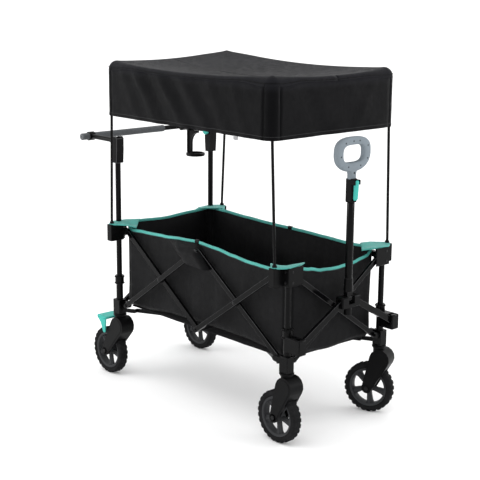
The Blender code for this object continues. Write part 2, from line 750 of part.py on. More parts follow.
def pull_inner_tube():
    """The sliding tube, and the black housing at its top that holds the trigger."""
    x, z = TRIGGER_PIVOT
    add = [
        cylinder((YOKE_X, 0, 0.476), (YOKE_X, 0, HOUSING[0] + 0.01), PULL_INNER),
        box((YOKE_X - 0.0135, -0.0130, HOUSING[0]), (YOKE_X + 0.0135, 0.0130, HOUSING[1]), bevel=0.003),
        box((YOKE_X + 0.006, -0.0130, z - 0.007), (x + 0.006, -0.0092, z + 0.008), bevel=0.001),
        box((YOKE_X + 0.006, 0.0092, z - 0.007), (x + 0.006, 0.0130, z + 0.008), bevel=0.001),
        cylinder((x, -0.011, z), (x, 0.011, z), 0.0022, PIN_SIDES),
    ]
    socket = box((YOKE_X - 0.0085, -0.0095, HOUSING[1] - 0.018), (YOKE_X + 0.0085, 0.0095, HOUSING[1] + 0.01))
    recess = box((YOKE_X + 0.0050, -0.0098, 0.7430), (YOKE_X + 0.03, 0.0098, z - 0.0060))
    make_node("pull_inner_tube", "black_steel", (YOKE_X, 0, PULL_TOP), add, [socket, recess])


def pull_grip():
    """The grey D grip and the neck that plugs into the housing."""
    half = GRIP_WIDTH / 2
    low, high = GRIP_BOTTOM, GRIP_BOTTOM + GRIP_HEIGHT
    middle = (low + high) / 2
    upright = frame_matrix((YOKE_X, 0, 0), Y_AXIS, X_AXIS)
    outer = arc((half - 0.036, high - 0.036), 0.036, -20, 90, 6)
    outer += arc((-half + 0.036, high - 0.036), 0.036, 90, 200, 6)
    outer += arc((0, low + 0.062), 0.062, 212, 328, 8)
    opening = [(x, z + middle + 0.001) for x, z in rounded_rectangle(0.044, 0.028, 0.020, steps=4)]
    body = plate([outer, opening], GRIP_THICKNESS, upright)
    neck = box((YOKE_X - 0.0105, -0.0125, HOUSING[1] + GAP), (YOKE_X + 0.0105, 0.0125, low + 0.010), bevel=0.002)
    plug = box((YOKE_X - 0.0081, -0.0091, HOUSING[1] - 0.0175), (YOKE_X + 0.0081, 0.0091, HOUSING[1] + 0.004))
    make_node("pull_grip", "grip_grey", (YOKE_X, 0, low), [body, neck, plug])


def pull_trigger():
    x, z = TRIGGER_PIVOT
    upright = frame_matrix((0, 0, 0), X_AXIS, -Y_AXIS)
    outline = belt((x, z), 0.0060, (YOKE_X + 0.0185, 0.750), 0.0042, steps=6)
    hole = circle((x, z), 0.0030)
    make_node("pull_trigger", "teal_plastic", (x, 0, z), [plate([outline, hole], 0.0170, upright)])


# Push handle.


def push_arm(side):
    """The arm from the hinge on a rear post to the crossbar. The left one ends in the crossbar's
    thin rod, which slides in the thick half as the frame folds."""
    sign = SIDES[side]
    y = sign * HALF_Y
    hinge = Vector((-HALF_X, y, PUSH_Z))
    upright = frame_matrix((0, y, 0), X_AXIS, -Y_AXIS)
    blade = belt((hinge.x, hinge.z), 0.0100, (hinge.x - 0.034, hinge.z), 0.0085, steps=6)
    clamp_x, clamp_z = PUSH_X, PUSH_Z
    add = [
        plate([blade], 0.0120, upright),
        cylinder((hinge.x - 0.024, y, hinge.z), (clamp_x + 0.004, y, clamp_z), 0.0085),
    ]
    cut = [cylinder((hinge.x, y - 0.02, hinge.z), (hinge.x, y + 0.02, hinge.z), HOLE_RADIUS, PIN_SIDES)]
    ring = cylinder((clamp_x, y - 0.011, clamp_z), (clamp_x, y + 0.011, clamp_z), 0.0155)
    add.append(ring)
    if side == "left":
        add.append(cylinder((clamp_x, y, clamp_z), (clamp_x, 0.070, clamp_z), PUSH_ROD_RADIUS))
        add.append(cylinder((clamp_x, y, clamp_z), (clamp_x, y + 0.040, clamp_z), PUSH_BAR_RADIUS))
    else:
        cut.append(cylinder((clamp_x, y - 0.02, clamp_z), (clamp_x, y + 0.02, clamp_z), PUSH_BAR_RADIUS + GAP))
    make_node(f"push_arm_{side}", "black_plastic", hinge, add, cut)


def push_bar():
    """The thick half of the crossbar, a sleeve closed at its right end."""
    z = PUSH_Z
    start, end = PUSH_BAR_ENDS
    add = [cylinder((PUSH_X, start, z), (PUSH_X, end, z), PUSH_BAR_RADIUS)]
    cut = [cylinder((PUSH_X, start + 0.020, z), (PUSH_X, end + 0.01, z), PUSH_BAR_BORE)]
    make_node("push_bar", "grip_grey", (PUSH_X, -HALF_Y, z), add, cut)


def push_button():
    x, y = -HALF_X, HALF_Y
    add = [
        cylinder((x, y - 0.0190, PUSH_Z), (x, y - 0.0280, PUSH_Z), 0.0125),
        cylinder((x, y - 0.0200, PUSH_Z), (x, y - 0.0125, PUSH_Z), 0.0058),
    ]
    make_node("push_button", "teal_plastic", (x, y - 0.0190, PUSH_Z), add)


def ring_path(centre, radius, steps=16):
    return [
        (
            centre[0] + radius * math.cos(2 * math.pi * i / steps),
            centre[1] + radius * math.sin(2 * math.pi * i / steps),
            centre[2],
        )
        for i in range(steps)
    ]


def cup_holder():
    """A clip round the left arm, a strap down from it and a ring for the cup."""
    y = HALF_Y
    z = PUSH_Z
    strap_x = CUP_X - 0.034
    add = [
        cylinder((strap_x - 0.010, y, z), (strap_x + 0.010, y, z), 0.0135),
        box((strap_x - 0.004, y - 0.010, CUP_Z - 0.004), (strap_x + 0.004, y + 0.010, z - 0.009), bevel=0.001),
        tube(ring_path((CUP_X, y, CUP_Z), 0.031), 0.0042, resolution=1, cyclic=True),
    ]
    cut = [cylinder((strap_x - 0.02, y, z), (strap_x + 0.02, y, z), 0.0095)]
    make_node("cup_holder", "black_plastic", (strap_x, y, z), add, cut)


def build():
    for end, side in CORNERS:
        lower_post(end, side)
        upper_post(end, side)
        top_bracket(end, side)
        canopy_pole(end, side)
        floor_arm(end, side)
        fork(end, side)
        tyre(end, side)
        rim(end, side)
    for side in SIDES:
        side_bars(side)
        brake_pedal(side)
        yoke_arm(side)
        push_arm(side)
    for end in ENDS:
        end_bars(end)
    yoke_hub()
    pull_outer_tube()
    pull_inner_tube()
    pull_grip()
    pull_trigger()
    push_bar()
    push_button()
    cup_holder()
    basket()
    canopy()


build()
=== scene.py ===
"""Looks and soft goods of the folding wagon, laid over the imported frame.

Metres throughout. +X is forwards, to the pull handle; +Y is the wagon's left; +Z is up. Points are
given from the middle of the wagon's floor plan, and w() moves them into the frame.
"""

import json
import math

import bmesh
import bpy
from mathutils import Matrix, Vector, noise

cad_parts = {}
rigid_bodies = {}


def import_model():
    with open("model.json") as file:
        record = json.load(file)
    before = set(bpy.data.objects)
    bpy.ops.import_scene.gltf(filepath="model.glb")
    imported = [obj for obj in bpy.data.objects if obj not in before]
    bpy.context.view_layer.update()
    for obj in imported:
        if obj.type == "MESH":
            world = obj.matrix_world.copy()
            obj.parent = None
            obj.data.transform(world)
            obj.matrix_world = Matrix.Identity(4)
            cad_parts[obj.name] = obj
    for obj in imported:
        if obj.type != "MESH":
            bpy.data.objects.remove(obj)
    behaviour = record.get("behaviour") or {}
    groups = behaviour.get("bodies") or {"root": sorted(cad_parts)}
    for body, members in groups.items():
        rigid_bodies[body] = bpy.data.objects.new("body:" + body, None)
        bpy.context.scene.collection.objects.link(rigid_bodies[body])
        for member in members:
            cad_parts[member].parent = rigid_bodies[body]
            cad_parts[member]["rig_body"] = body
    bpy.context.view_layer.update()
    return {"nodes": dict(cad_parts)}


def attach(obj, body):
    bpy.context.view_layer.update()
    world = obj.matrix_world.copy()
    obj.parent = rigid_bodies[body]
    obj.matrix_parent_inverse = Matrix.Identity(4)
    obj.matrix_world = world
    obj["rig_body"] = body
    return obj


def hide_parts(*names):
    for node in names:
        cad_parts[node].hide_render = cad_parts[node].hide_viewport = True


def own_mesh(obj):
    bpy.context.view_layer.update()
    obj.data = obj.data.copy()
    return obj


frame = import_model()
NODES = frame["nodes"]

# Frame.
CENTRE_X = 0.04775
HALF_X, HALF_Y = 0.420, 0.210  # post axes
ENDS = {"rear": -1, "front": 1}
SIDES = {"right": -1, "left": 1}
CORNERS = [(end, side) for end in ENDS for side in SIDES]
PIVOT_LOW, PIVOT_HIGH = 0.268, 0.532
REACH_X = 0.375  # scissor pivots at the corners
BAR_OUTER = 0.2195  # outer face of a side's outer bar, from the middle
END_OUTER = 0.4295

# Wheels.
WHEEL_RADIUS = 0.084
TRAIL = {"rear": 0.058, "front": 0.029}
FRONT_LEFT_YAW = math.radians(20)

# Camera.
CAMERA_AT = (2.9026, -2.6700, 1.4449)
CAMERA_AZIMUTH, CAMERA_ELEVATION, CAMERA_ROLL = 47.64, 12.95, 0.496
FOCAL_LENGTH, SENSOR = 90.96, 36.0  # in millimetres


def w(x, y, z):
    return Vector((x + CENTRE_X, y, z))


def corner_signs(end, side):
    """The signs of x and y at a corner."""
    return ENDS[end], SIDES[side]


# Materials.


def new_material(name, colour, roughness, metallic=0.0, **sockets):
    material = bpy.data.materials.new(name)
    material.use_nodes = True
    shader = material.node_tree.nodes["Principled BSDF"]
    shader.inputs["Base Color"].default_value = (*colour, 1.0)
    shader.inputs["Roughness"].default_value = roughness
    shader.inputs["Metallic"].default_value = metallic
    for socket, value in sockets.items():
        shader.inputs[socket.replace("_", " ")].default_value = value
    return material


def node(material, kind, inputs, **settings):
    """A new shader node. Each of its inputs takes a plain value or another node's output."""
    made = material.node_tree.nodes.new(kind)
    for key, value in settings.items():
        setattr(made, key, value)
    for socket, value in inputs.items():
        if isinstance(value, bpy.types.NodeSocket):
            material.node_tree.links.new(value, made.inputs[socket])
        else:
            made.inputs[socket].default_value = value
    return made


def shade(material, socket, output):
    """Links an output to a socket of the material's own shader."""
    shader = material.node_tree.nodes["Principled BSDF"]
    material.node_tree.links.new(output, shader.inputs[socket])


def position(material, scale=(1, 1, 1)):
    """Object coordinates, which are metres here, stretched by scale."""
    coordinates = node(material, "ShaderNodeTexCoord", {})
    inputs = {"Vector": coordinates.outputs["Object"], "Scale": scale}
    return node(material, "ShaderNodeMapping", inputs).outputs["Vector"]


def noise_height(material, scale, detail=3.0, stretch=(1, 1, 1)):
    inputs = {"Scale": scale, "Detail": detail, "Vector": position(material, stretch)}
    return node(material, "ShaderNodeTexNoise", inputs).outputs["Fac"]


def threads(material, direction, pitch, distortion=0.0):
    """Parallel ridges, one for each pitch. The wave texture itself has 20 / 2 pi of them to a metre."""
    inputs = {"Scale": 2 * math.pi / (20 * pitch), "Distortion": distortion, "Vector": position(material)}
    made = node(material, "ShaderNodeTexWave", inputs, bands_direction=direction, wave_profile="SIN")
    return made.outputs["Fac"]


def add_heights(material, first, second, factor=1.0):
    inputs = {0: second, 1: factor, 2: first}
    return node(material, "ShaderNodeMath", inputs, operation="MULTIPLY_ADD").outputs[0]


def bump(material, height, distance, strength=1.0):
    inputs = {"Strength": strength, "Distance": distance, "Height": height}
    shade(material, "Normal", node(material, "ShaderNodeBump", inputs).outputs["Normal"])


def vary(material, socket, source, stops):
    """Sets a socket from a 0 to 1 source through a ramp of (place, value) stops."""
    ramp = node(material, "ShaderNodeValToRGB", {"Fac": source})
    elements = ramp.color_ramp.elements
    while len(elements) < len(stops):
        elements.new(0.5)
    for element, (place, value) in zip(elements, stops):
        element.position = place
        element.color = (*value, 1.0) if isinstance(value, tuple) else (value, value, value, 1.0)
    shade(material, socket, ramp.outputs["Color"])


def scaled(colour, factor):
    return tuple(min(1.0, c * factor) for c in colour)


PAINTED_TOP_LIGHT_HEIGHTS = (1.072, 1.104)  # the canopy's cloth keeps its own colour below these heights and is painted lighter above them, as painted light from above on its roof


def woven(name, colour, pitch, roughness=0.88, sheen=0.02, painted_top_light=0.0, gloss=0.05):
    """Plain-woven cloth: threads along all three axes, so that each panel shows two of them.

    The top-light factor is how many times lighter the cloth is painted on top, above the heights set for
    it: painted light from above.
    """
    material = new_material(
        name, colour, roughness, Sheen_Weight=sheen, Sheen_Roughness=0.5, Specular_IOR_Level=gloss
    )
    height = None
    for axis in "XYZ":
        ridges = threads(material, axis, pitch, 0.6)
        height = ridges if height is None else add_heights(material, height, ridges)
    slubs = noise_height(material, 60, 4.0)
    bump(material, add_heights(material, height, slubs, 1.4), pitch * 0.22, 0.55)
    cloudy = noise_height(material, 9, 5.0)
    if painted_top_light:
        # Painted light from above: the cloth is made lighter with height, up on the roof.
        place = node(material, "ShaderNodeSeparateXYZ", {"Vector": position(material)})
        low, high = PAINTED_TOP_LIGHT_HEIGHTS
        inputs = {"Value": place.outputs["Z"], "From Min": low, "From Max": high, "To Max": 0.7}
        reach = node(material, "ShaderNodeMapRange", inputs, interpolation_type="SMOOTHSTEP")
        cloudy = add_heights(material, reach.outputs["Result"], cloudy, 0.3)
        stops = [(0.08, scaled(colour, 0.82)), (0.20, scaled(colour, 1.2))]
        stops += [(0.80, scaled(colour, painted_top_light * 0.9)), (0.92, scaled(colour, painted_top_light * 1.1))]
    else:
        stops = [(0.3, scaled(colour, 0.82)), (0.7, scaled(colour, 1.2))]
    vary(material, "Base Color", cloudy, stops)
    vary(material, "Roughness", slubs, [(0.3, roughness - 0.08), (0.7, roughness + 0.06)])
    return material


def ribbed(name, colour, pitch):
    """Woven binding tape: close ribs across it."""
    material = new_material(name, colour, 0.62, Sheen_Weight=0.10, Sheen_Roughness=0.4)
    ribs = threads(material, "DIAGONAL", pitch)
    bump(material, add_heights(material, ribs, noise_height(material, 90), 1.2), 0.0004, 0.6)
    cloudy = noise_height(material, 30, 4.0)
    vary(material, "Base Color", cloudy, [(0.3, scaled(colour, 0.88)), (0.7, scaled(colour, 1.10))])
    return material


def moulded(name, colour, roughness, grain=500.0, depth=0.00012, spread=0.10):
    """Moulded plastic with a fine spark-eroded grain."""
    material = new_material(name, colour, roughness, Specular_IOR_Level=0.07)
    fine = noise_height(material, grain, 3.0)
    broad = noise_height(material, 14, 3.0)
    bump(material, fine, depth, 0.5)
    ends = [(0.3, scaled(colour, 1 - spread)), (0.7, scaled(colour, 1 + spread))]
    vary(material, "Base Color", broad, ends)
    vary(material, "Roughness", broad, [(0.3, roughness - 0.05), (0.7, roughness + 0.07)])
    return material


def powder_coat(name, colour, roughness):
    """Powder-coated steel tube: slight orange peel under a satin film."""
    material = new_material(name, colour, roughness, Specular_IOR_Level=0.08)
    peel = noise_height(material, 320, 2.0)
    scuffs = noise_height(material, 40, 6.0, (1, 1, 0.25))
    bump(material, peel, 0.00010, 0.5)
    vary(material, "Base Color", scuffs, [(0.35, scaled(colour, 0.85)), (0.75, scaled(colour, 1.35))])
    vary(material, "Roughness", scuffs, [(0.35, roughness - 0.05), (0.7, roughness + 0.10)])
    return material


def tread_rubber(name, colour):
    material = new_material(name, colour, 0.82, Specular_IOR_Level=0.06)
    grain = noise_height(material, 260, 4.0)
    dust = noise_height(material, 28, 5.0)
    bump(material, grain, 0.0003, 0.6)
    vary(material, "Base Color", dust, [(0.35, scaled(colour, 0.8)), (0.8, scaled(colour, 1.9))])
    vary(material, "Roughness", dust, [(0.3, 0.72), (0.8, 0.95)])
    return material


TEAL = (0.052, 0.390, 0.335)
MATERIALS = {
    "steel": powder_coat("black_powder_coat", (0.0022, 0.0022, 0.0024), 0.22),
    "bar": powder_coat("bar_powder_coat", (0.0016, 0.0016, 0.0018), 0.16),
    # Light grey for the bevels of bars and steel tubes: a painted highlight along their edges.
    "painted_edge_highlight": powder_coat("bar_painted_edge_highlight", (0.0620, 0.0620, 0.0640), 0.30),
    "plastic": moulded("black_nylon", (0.0026, 0.0026, 0.0028), 0.32),
    "fork": moulded("fork_nylon", (0.0034, 0.0034, 0.0037), 0.40, 420.0, 0.00016),
    "rim": moulded("rim_plastic", (0.0330, 0.0340, 0.0360), 0.42),
    "rubber": tread_rubber("tread_rubber", (0.0085, 0.0085, 0.0090)),
    "teal": moulded("teal_plastic", TEAL, 0.38, 400.0, 0.0001, 0.05),
    "grip": moulded("grip_soft_touch", (0.185, 0.215, 0.240), 0.62, 700.0, 0.0002, 0.08),
    "sleeve": moulded("sleeve_foam", (0.095, 0.100, 0.106), 0.50, 700.0, 0.0002, 0.10),
    "bolt": powder_coat("black_bolt", (0.0120, 0.0120, 0.0125), 0.30),
    # The canopy is painted lighter on its roof than on its sides: painted light from above.
    "canopy": woven("canopy_polyester", (0.0021, 0.0021, 0.0026), 0.0011, 0.50, painted_top_light=4.4, gloss=0.034),
    "canopy_seam": woven("canopy_seam_tape", (0.0026, 0.0026, 0.0031), 0.0009, 0.50, gloss=0.034),
    "basket": woven("basket_polyester", (0.0060, 0.0060, 0.0065), 0.0013, 0.6, gloss=0.06),
    "floor_cloth": woven("basket_floor_cloth", (0.0110, 0.0110, 0.0118), 0.0015),
    "binding": ribbed("teal_binding", (0.050, 0.345, 0.300), 0.0011),
    "thread": new_material("sewing_thread", (0.022, 0.022, 0.024), 0.7),
    "tag": woven("blank_tag", (0.300, 0.300, 0.310), 0.0008),
}


# Mesh helpers.


def new_object(name, data):
    made = bpy.data.objects.new(name, data)
    bpy.context.scene.collection.objects.link(made)
    return made


def add_piece(name, mesh, material, body, replaces=()):
    """A finished mesh as a piece of the wagon that rides on a body."""
    piece = new_object(name, mesh)
    mesh.materials.clear()
    mesh.materials.append(MATERIALS[material])
    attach(piece, body)
    if replaces:
        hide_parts(*replaces)
    return piece


def to_mesh(name, bm, sharp=40.0):
    """Ends a bmesh: round faces shade smooth and edges steeper than sharp stay crisp."""
    limit = math.radians(sharp)
    bmesh.ops.recalc_face_normals(bm, faces=bm.faces)
    for face in bm.faces:
        face.smooth = True
    for edge in bm.edges:
        edge.smooth = len(edge.link_faces) != 2 or edge.calc_face_angle(0.0) < limit
    mesh = bpy.data.meshes.new(name)
    bm.to_mesh(mesh)
    bm.free()
    return mesh


def build(name, bm, sharp, material, body, replaces=()):
    """Ends a bmesh and adds it as a piece."""
    return add_piece(name, to_mesh(name, bm, sharp), material, body, replaces)


def soften(piece, width, angle=38.0, segments=2):
    """Breaks the edges of a hard piece, so that they catch the light. The bevel faces take the piece's last
    material, which on bars and steel is a light grey painted highlight.
    """
    bevel = piece.modifiers.new("edge", "BEVEL")
    bevel.width = width
    bevel.segments = segments
    bevel.limit_method = "ANGLE"
    bevel.angle_limit = math.radians(angle)
    bevel.harden_normals = False
    bevel.material = len(piece.data.materials) - 1
    weighted = piece.modifiers.new("normals", "WEIGHTED_NORMAL")
    weighted.keep_sharp = False
    return piece


# Bars and steel get a light grey second material on their bevels: a painted highlight along the edges.
PAINTED_HIGHLIGHT_EDGES = {"bar": "painted_edge_highlight", "steel": "painted_edge_highlight"}


def twin(cad_node, material, width=0.0008):
    """The CAD node's own shape with its edges broken and its round faces smooth."""
    bm = bmesh.new()
    bm.from_mesh(NODES[cad_node].data)
    bmesh.ops.remove_doubles(bm, verts=bm.verts, dist=1e-5)
    bmesh.ops.dissolve_limit(bm, angle_limit=math.radians(0.8), verts=bm.verts, edges=bm.edges)
    piece = build(f"{cad_node}_finished", bm, 180.0, material, NODES[cad_node]["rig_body"], [cad_node])
    # The light second material goes on the bevel faces as a painted highlight.
    if material in PAINTED_HIGHLIGHT_EDGES:
        piece.data.materials.append(MATERIALS[PAINTED_HIGHLIGHT_EDGES[material]])
    return soften(piece, width)


def axes_matrix(origin, along, normal):
    """Local X runs along, local Z along normal."""
    along = Vector(along).normalized()
    normal = Vector(normal).normalized()
    side = normal.cross(along)
    matrix = Matrix((along, side, normal)).transposed().to_4x4()
    matrix.translation = origin
    return matrix


def bridge(bm, first, second, closed=True):
    """Quads between two rings, or with closed off two rows, of the same length."""
    size = len(first)
    for i in range(size if closed else size - 1):
        j = (i + 1) % size
        bm.faces.new((first[i], first[j], second[j], second[i]))


def join_rings(bm, rings, closed=False):
    """Skins a run of rings. It is capped at both ends, or with closed it joins up with itself."""
    for first, second in zip(rings, rings[1:] + (rings[:1] if closed else [])):
        bridge(bm, first, second)
    if not closed:
        bm.faces.new(list(reversed(rings[0])))
        bm.faces.new(rings[-1])


def skin_grid(bm, grid):
    """Quads over a grid of vertices."""
    for first, second in zip(grid, grid[1:]):
        for j in range(len(first) - 1):
            bm.faces.new((first[j], second[j], second[j + 1], first[j + 1]))


def mirrored(profile):
    """A (radius, height) profile followed by its mirror image above height 0."""
    return profile + [(radius, -height) for radius, height in reversed(profile)]


def lathe(bm, profile, steps, matrix, closed=False, shape=None):
    """Turns (radius, height) pairs round the matrix's Z. shape(angle, row) adds to a radius."""
    rings = []
    for row, (radius, height) in enumerate(profile):
        ring = []
        for i in range(steps):
            angle = 2 * math.pi * i / steps
            r = radius + (shape(angle, row) if shape else 0.0)
            ring.append(bm.verts.new(matrix @ Vector((r * math.cos(angle), r * math.sin(angle), height))))
        rings.append(ring)
    join_rings(bm, rings, closed)


def sweep(bm, path, section, up=(0, 0, 1), closed=False):
    """Sweeps a closed section of (side, up) offsets along a path. section may be a function of 0 to 1."""
    rings = []
    count = len(path)
    for i, point in enumerate(path):
        before = path[i - 1] if closed or i else path[i]
        after = path[(i + 1) % count] if closed or i < count - 1 else path[i]
        tangent = (after - before).normalized()
        side = tangent.cross(Vector(up)).normalized()
        rise = side.cross(tangent).normalized()
        offsets = section(i / max(1, count - 1)) if callable(section) else section
        rings.append([bm.verts.new(point + side * a + rise * b) for a, b in offsets])
    join_rings(bm, rings, closed)


def oval(half_side, half_up, steps=12, power=2.0):
    """A superellipse section; a higher power is squarer."""
    points = []
    for i in range(steps):
        angle = 2 * math.pi * (i + 0.5) / steps
        c, s = math.cos(angle), math.sin(angle)
        across = half_side * math.copysign(abs(c) ** (2 / power), c)
        points.append((across, half_up * math.copysign(abs(s) ** (2 / power), s)))
    return points


def dome(bm, centre, normal, radius, height, steps=16):
    """A rivet or cap: a low dome standing on a flat face."""
    helper = Vector((0, 0, 1)) if abs(Vector(normal).normalized().z) < 0.9 else Vector((1, 0, 0))
    profile = [
        (radius, -0.0006),
        (radius, height * 0.25),
        (radius * 0.86, height * 0.68),
        (radius * 0.55, height * 0.94),
        (radius * 0.12, height),
    ]
    lathe(bm, profile, steps, axes_matrix(centre, helper, normal))


def smoothstep(low, high, value):
    t = min(1.0, max(0.0, (value - low) / (high - low)))
    return t * t * (3 - 2 * t)


def through(table, value):
    """Smooth interpolation in a table of (place, value) pairs."""
    if value <= table[0][0]:
        return table[0][1]
    for (x0, y0), (x1, y1) in zip(table, table[1:]):
        if value <= x1:
            return y0 + (y1 - y0) * smoothstep(0.0, 1.0, (value - x0) / (x1 - x0))
    return table[-1][1]


def ridge(distance, width):
    """A soft ridge across a fold line."""
    return math.exp(-((distance / width) ** 2))


# Sewn shells. The basket and the canopy are each laid out as one closed band of columns round the
# wagon and then cut at their seams, so that the pieces meet exactly and each can follow the fold.


def perimeter(half_x, half_y, corner, step):
    """Evenly spaced (point, outward normal) columns round a rounded rectangle, from the right end
    of the front edge, with a column exactly on each seam."""
    columns = []

    def run(start, end, normal):
        count = max(2, 2 * round((end - start).length / step / 2))
        for i in range(count):
            columns.append((start.lerp(end, i / count), normal))

    def turn(centre, start_angle, count=6):
        for i in range(count):
            angle = math.radians(start_angle + 90 * i / count)
            normal = Vector((math.cos(angle), math.sin(angle), 0))
            columns.append((centre + normal * corner, normal))

    inner_x, inner_y = half_x - corner, half_y - corner
    run(Vector((half_x, -inner_y, 0)), Vector((half_x, inner_y, 0)), Vector((1, 0, 0)))
    turn(Vector((inner_x, inner_y, 0)), 0)
    run(Vector((inner_x, half_y, 0)), Vector((-inner_x, half_y, 0)), Vector((0, 1, 0)))
    turn(Vector((-inner_x, inner_y, 0)), 90)
    run(Vector((-half_x, inner_y, 0)), Vector((-half_x, -inner_y, 0)), Vector((-1, 0, 0)))
    turn(Vector((-inner_x, -inner_y, 0)), 180)
    run(Vector((-inner_x, -half_y, 0)), Vector((inner_x, -half_y, 0)), Vector((0, -1, 0)))
    turn(Vector((inner_x, -inner_y, 0)), 270)
    return columns


def part_of(centre, inner_x, inner_y):
    """The seam-bounded part of a shell that a face belongs to."""
    x, y = centre
    if abs(x) > inner_x and abs(y) > inner_y:
        return f"{'front' if x > 0 else 'rear'}_{'left' if y > 0 else 'right'}"
    if abs(y) > inner_y:
        return "left" if y > 0 else "right"
    return "front" if x > 0 else "rear"


def seam_runs(columns, inner_x, inner_y):
    """The numbers of the columns that each part of the shell spans, from seam to seam."""
    runs = {}
    for i, (point, _) in enumerate(columns):
        j = (i + 1) % len(columns)
        middle = (point + columns[j][0]) / 2
        runs.setdefault(part_of(middle[:2], inner_x, inner_y), [i]).append(j)
    return runs


def quads_between(row_count, pairs):
    """Quads of (row, column) keys over pairs of neighbouring columns, row by row."""
    pairs = list(pairs)
    return [((k, i), (k, j), (k + 1, j), (k + 1, i)) for k in range(row_count - 1) for i, j in pairs]


def cut_shell(rows, columns, inner_x, inner_y):
    """Groups the quads between consecutive rows by the part of the shell they lie in."""
    groups = {}
    for part, run in seam_runs(columns, inner_x, inner_y).items():
        groups[part] = quads_between(len(rows), zip(run, run[1:]))
    return groups


def shell_mesh(name, rows, quads):
    bm = bmesh.new()
    made = {}
    for quad in quads:
        corners = []
        for key in quad:
            if key not in made:
                made[key] = bm.verts.new(rows[key[0]][key[1]] + Vector((CENTRE_X, 0, 0)))
            if made[key] not in corners:
                corners.append(made[key])
        if len(corners) > 2:
            bm.faces.new(corners)
    for face in bm.faces:
        face.smooth = True
    mesh = bpy.data.meshes.new(name)
    bm.to_mesh(mesh)
    bm.free()
    return mesh


def thicken(piece, thickness, inward=True):
    solid = piece.modifiers.new("cloth", "SOLIDIFY")
    solid.thickness = thickness
    solid.offset = -1.0 if inward else 1.0
    solid.use_even_offset = False
    return piece


UPPER_BODY = {"right": "rear_right_upper", "left": "rear_left_upper"}


def shell_pieces(kind, cad_node, rows, columns, inner_x, inner_y, cloth):
    """The sewn panels of one shell. The first of them stands for the CAD node."""
    replaces = [cad_node]
    for part, quads in cut_shell(rows, columns, inner_x, inner_y).items():
        name = f"{kind}_{part}"
        piece = add_piece(name, shell_mesh(name, rows, quads), cad_node, body_for(part), replaces)
        replaces = ()
        follow_fold(thicken(piece, cloth), part)


def follow_fold(piece, part):
    """Gives a side or end panel its own copy of its mesh; other parts are left as they are."""
    if part in ("right", "left"):
        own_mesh(piece)
    elif part in ("front", "rear"):
        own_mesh(piece)


def body_for(part):
    if part in UPPER_BODY:
        return UPPER_BODY[part]
    return f"{part}_right_upper" if part in ENDS else f"{part}_upper"


# Canopy.
CANOPY_X, CANOPY_Y = 0.4035, 0.2735
CANOPY_CORNER = 0.034
CANOPY_TOP, CANOPY_HEM = 1.1275, 0.9385
ROOF_ROUND, CORNER_ROUND = 0.015, 0.030
REAR_LEFT_RISE, REAR_RIGHT_DROP = 0.0090, 0.0050
LONG_SAG, SHORT_SAG, MIDDLE_SAG = 0.0185, 0.0135, 0.011
CANOPY_CLOTH = 0.0016
CANOPY_SLACK = (-0.009, 0.0085)  # how far in and out the folds may go
HEM_DEPTH, HEM_PROUD = 0.010, 0.0009  # the turned-up hem and how far it stands out
# Drape folds on the long sides: top x, bottom x, width and height of each ridge.
DRAPES = [
    (-0.330, -0.215, 0.020, 0.0055),
    (-0.262, -0.125, 0.017, 0.0095),
    (-0.212, -0.070, 0.012, -0.0080),
    (-0.150, 0.010, 0.016, 0.0100),
    (-0.095, 0.060, 0.011, -0.0075),
    (-0.040, 0.125, 0.019, 0.0080),
    (0.030, 0.165, 0.012, -0.0045),
    (0.105, 0.210, 0.020, 0.0055),
    (0.225, 0.285, 0.016, 0.0045),
]
# The same on the ends: top y, how far it moves down the valance, width and height.
END_DRAPES = [(0.02, 0.16, 0.045, 0.0030), (-0.16, 0.10, 0.030, -0.0024), (0.185, -0.10, 0.022, 0.0022)]


def roof_height(x, y):
    u, v = min(1.0, (x / CANOPY_X) ** 2), min(1.0, (y / CANOPY_Y) ** 2)
    sag = LONG_SAG * (1 - u) + SHORT_SAG * (1 - v) + MIDDLE_SAG * (1 - u) * (1 - v)
    rear, left = 0.5 - 0.5 * x / CANOPY_X, 0.5 + 0.5 * y / CANOPY_Y
    return CANOPY_TOP - sag + rear**2 * (REAR_LEFT_RISE * left**2 - REAR_RIGHT_DROP * (1 - left) ** 2)


def edge_round(point):
    """Radius of the fold between roof and valance, which is fuller over the poles."""
    away = (Vector((CANOPY_X, CANOPY_Y)) - Vector((abs(point.x), abs(point.y)))).length
    return ROOF_ROUND + (CORNER_ROUND - ROOF_ROUND) * smoothstep(0.14, 0.03, away)


def valance_offset(point, normal, z):
    """How far the hanging cloth stands proud of, or behind, its flat pattern."""
    fall = (CANOPY_TOP - z) / (CANOPY_TOP - CANOPY_HEM)
    hang = smoothstep(0.10, 0.30, fall)
    seed = Vector((point.x * 9, point.y * 9, z * 7))
    offset = 0.0016 * hang * noise.noise(seed)
    crinkle = noise.noise(Vector((point.x * 30 + point.y * 12, point.y * 18, z * 26)))
    offset += 0.0013 * crinkle * smoothstep(0.02, 0.15, fall)
    if abs(normal.y) > 0.7:
        side = -1 if normal.y < 0 else 1
        for top, bottom, width, height in DRAPES:
            if side > 0:
                top, bottom = -top * 0.9, -bottom * 0.9
            line = top + (bottom - top) * fall
            offset += height * ridge(point.x - line, width * (0.7 + 0.6 * fall)) * hang * (1 - 0.55 * fall)
    elif abs(normal.x) > 0.7:
        for top, drift, width, height in END_DRAPES:
            offset += height * hang * ridge(point.y - (top + drift * fall), width)
    if abs(normal.x * normal.y) > 0.1:  # a pole holds the cloth taut round the corner
        offset *= 0.3
    return max(CANOPY_SLACK[0], min(CANOPY_SLACK[1], offset)) - 0.0012


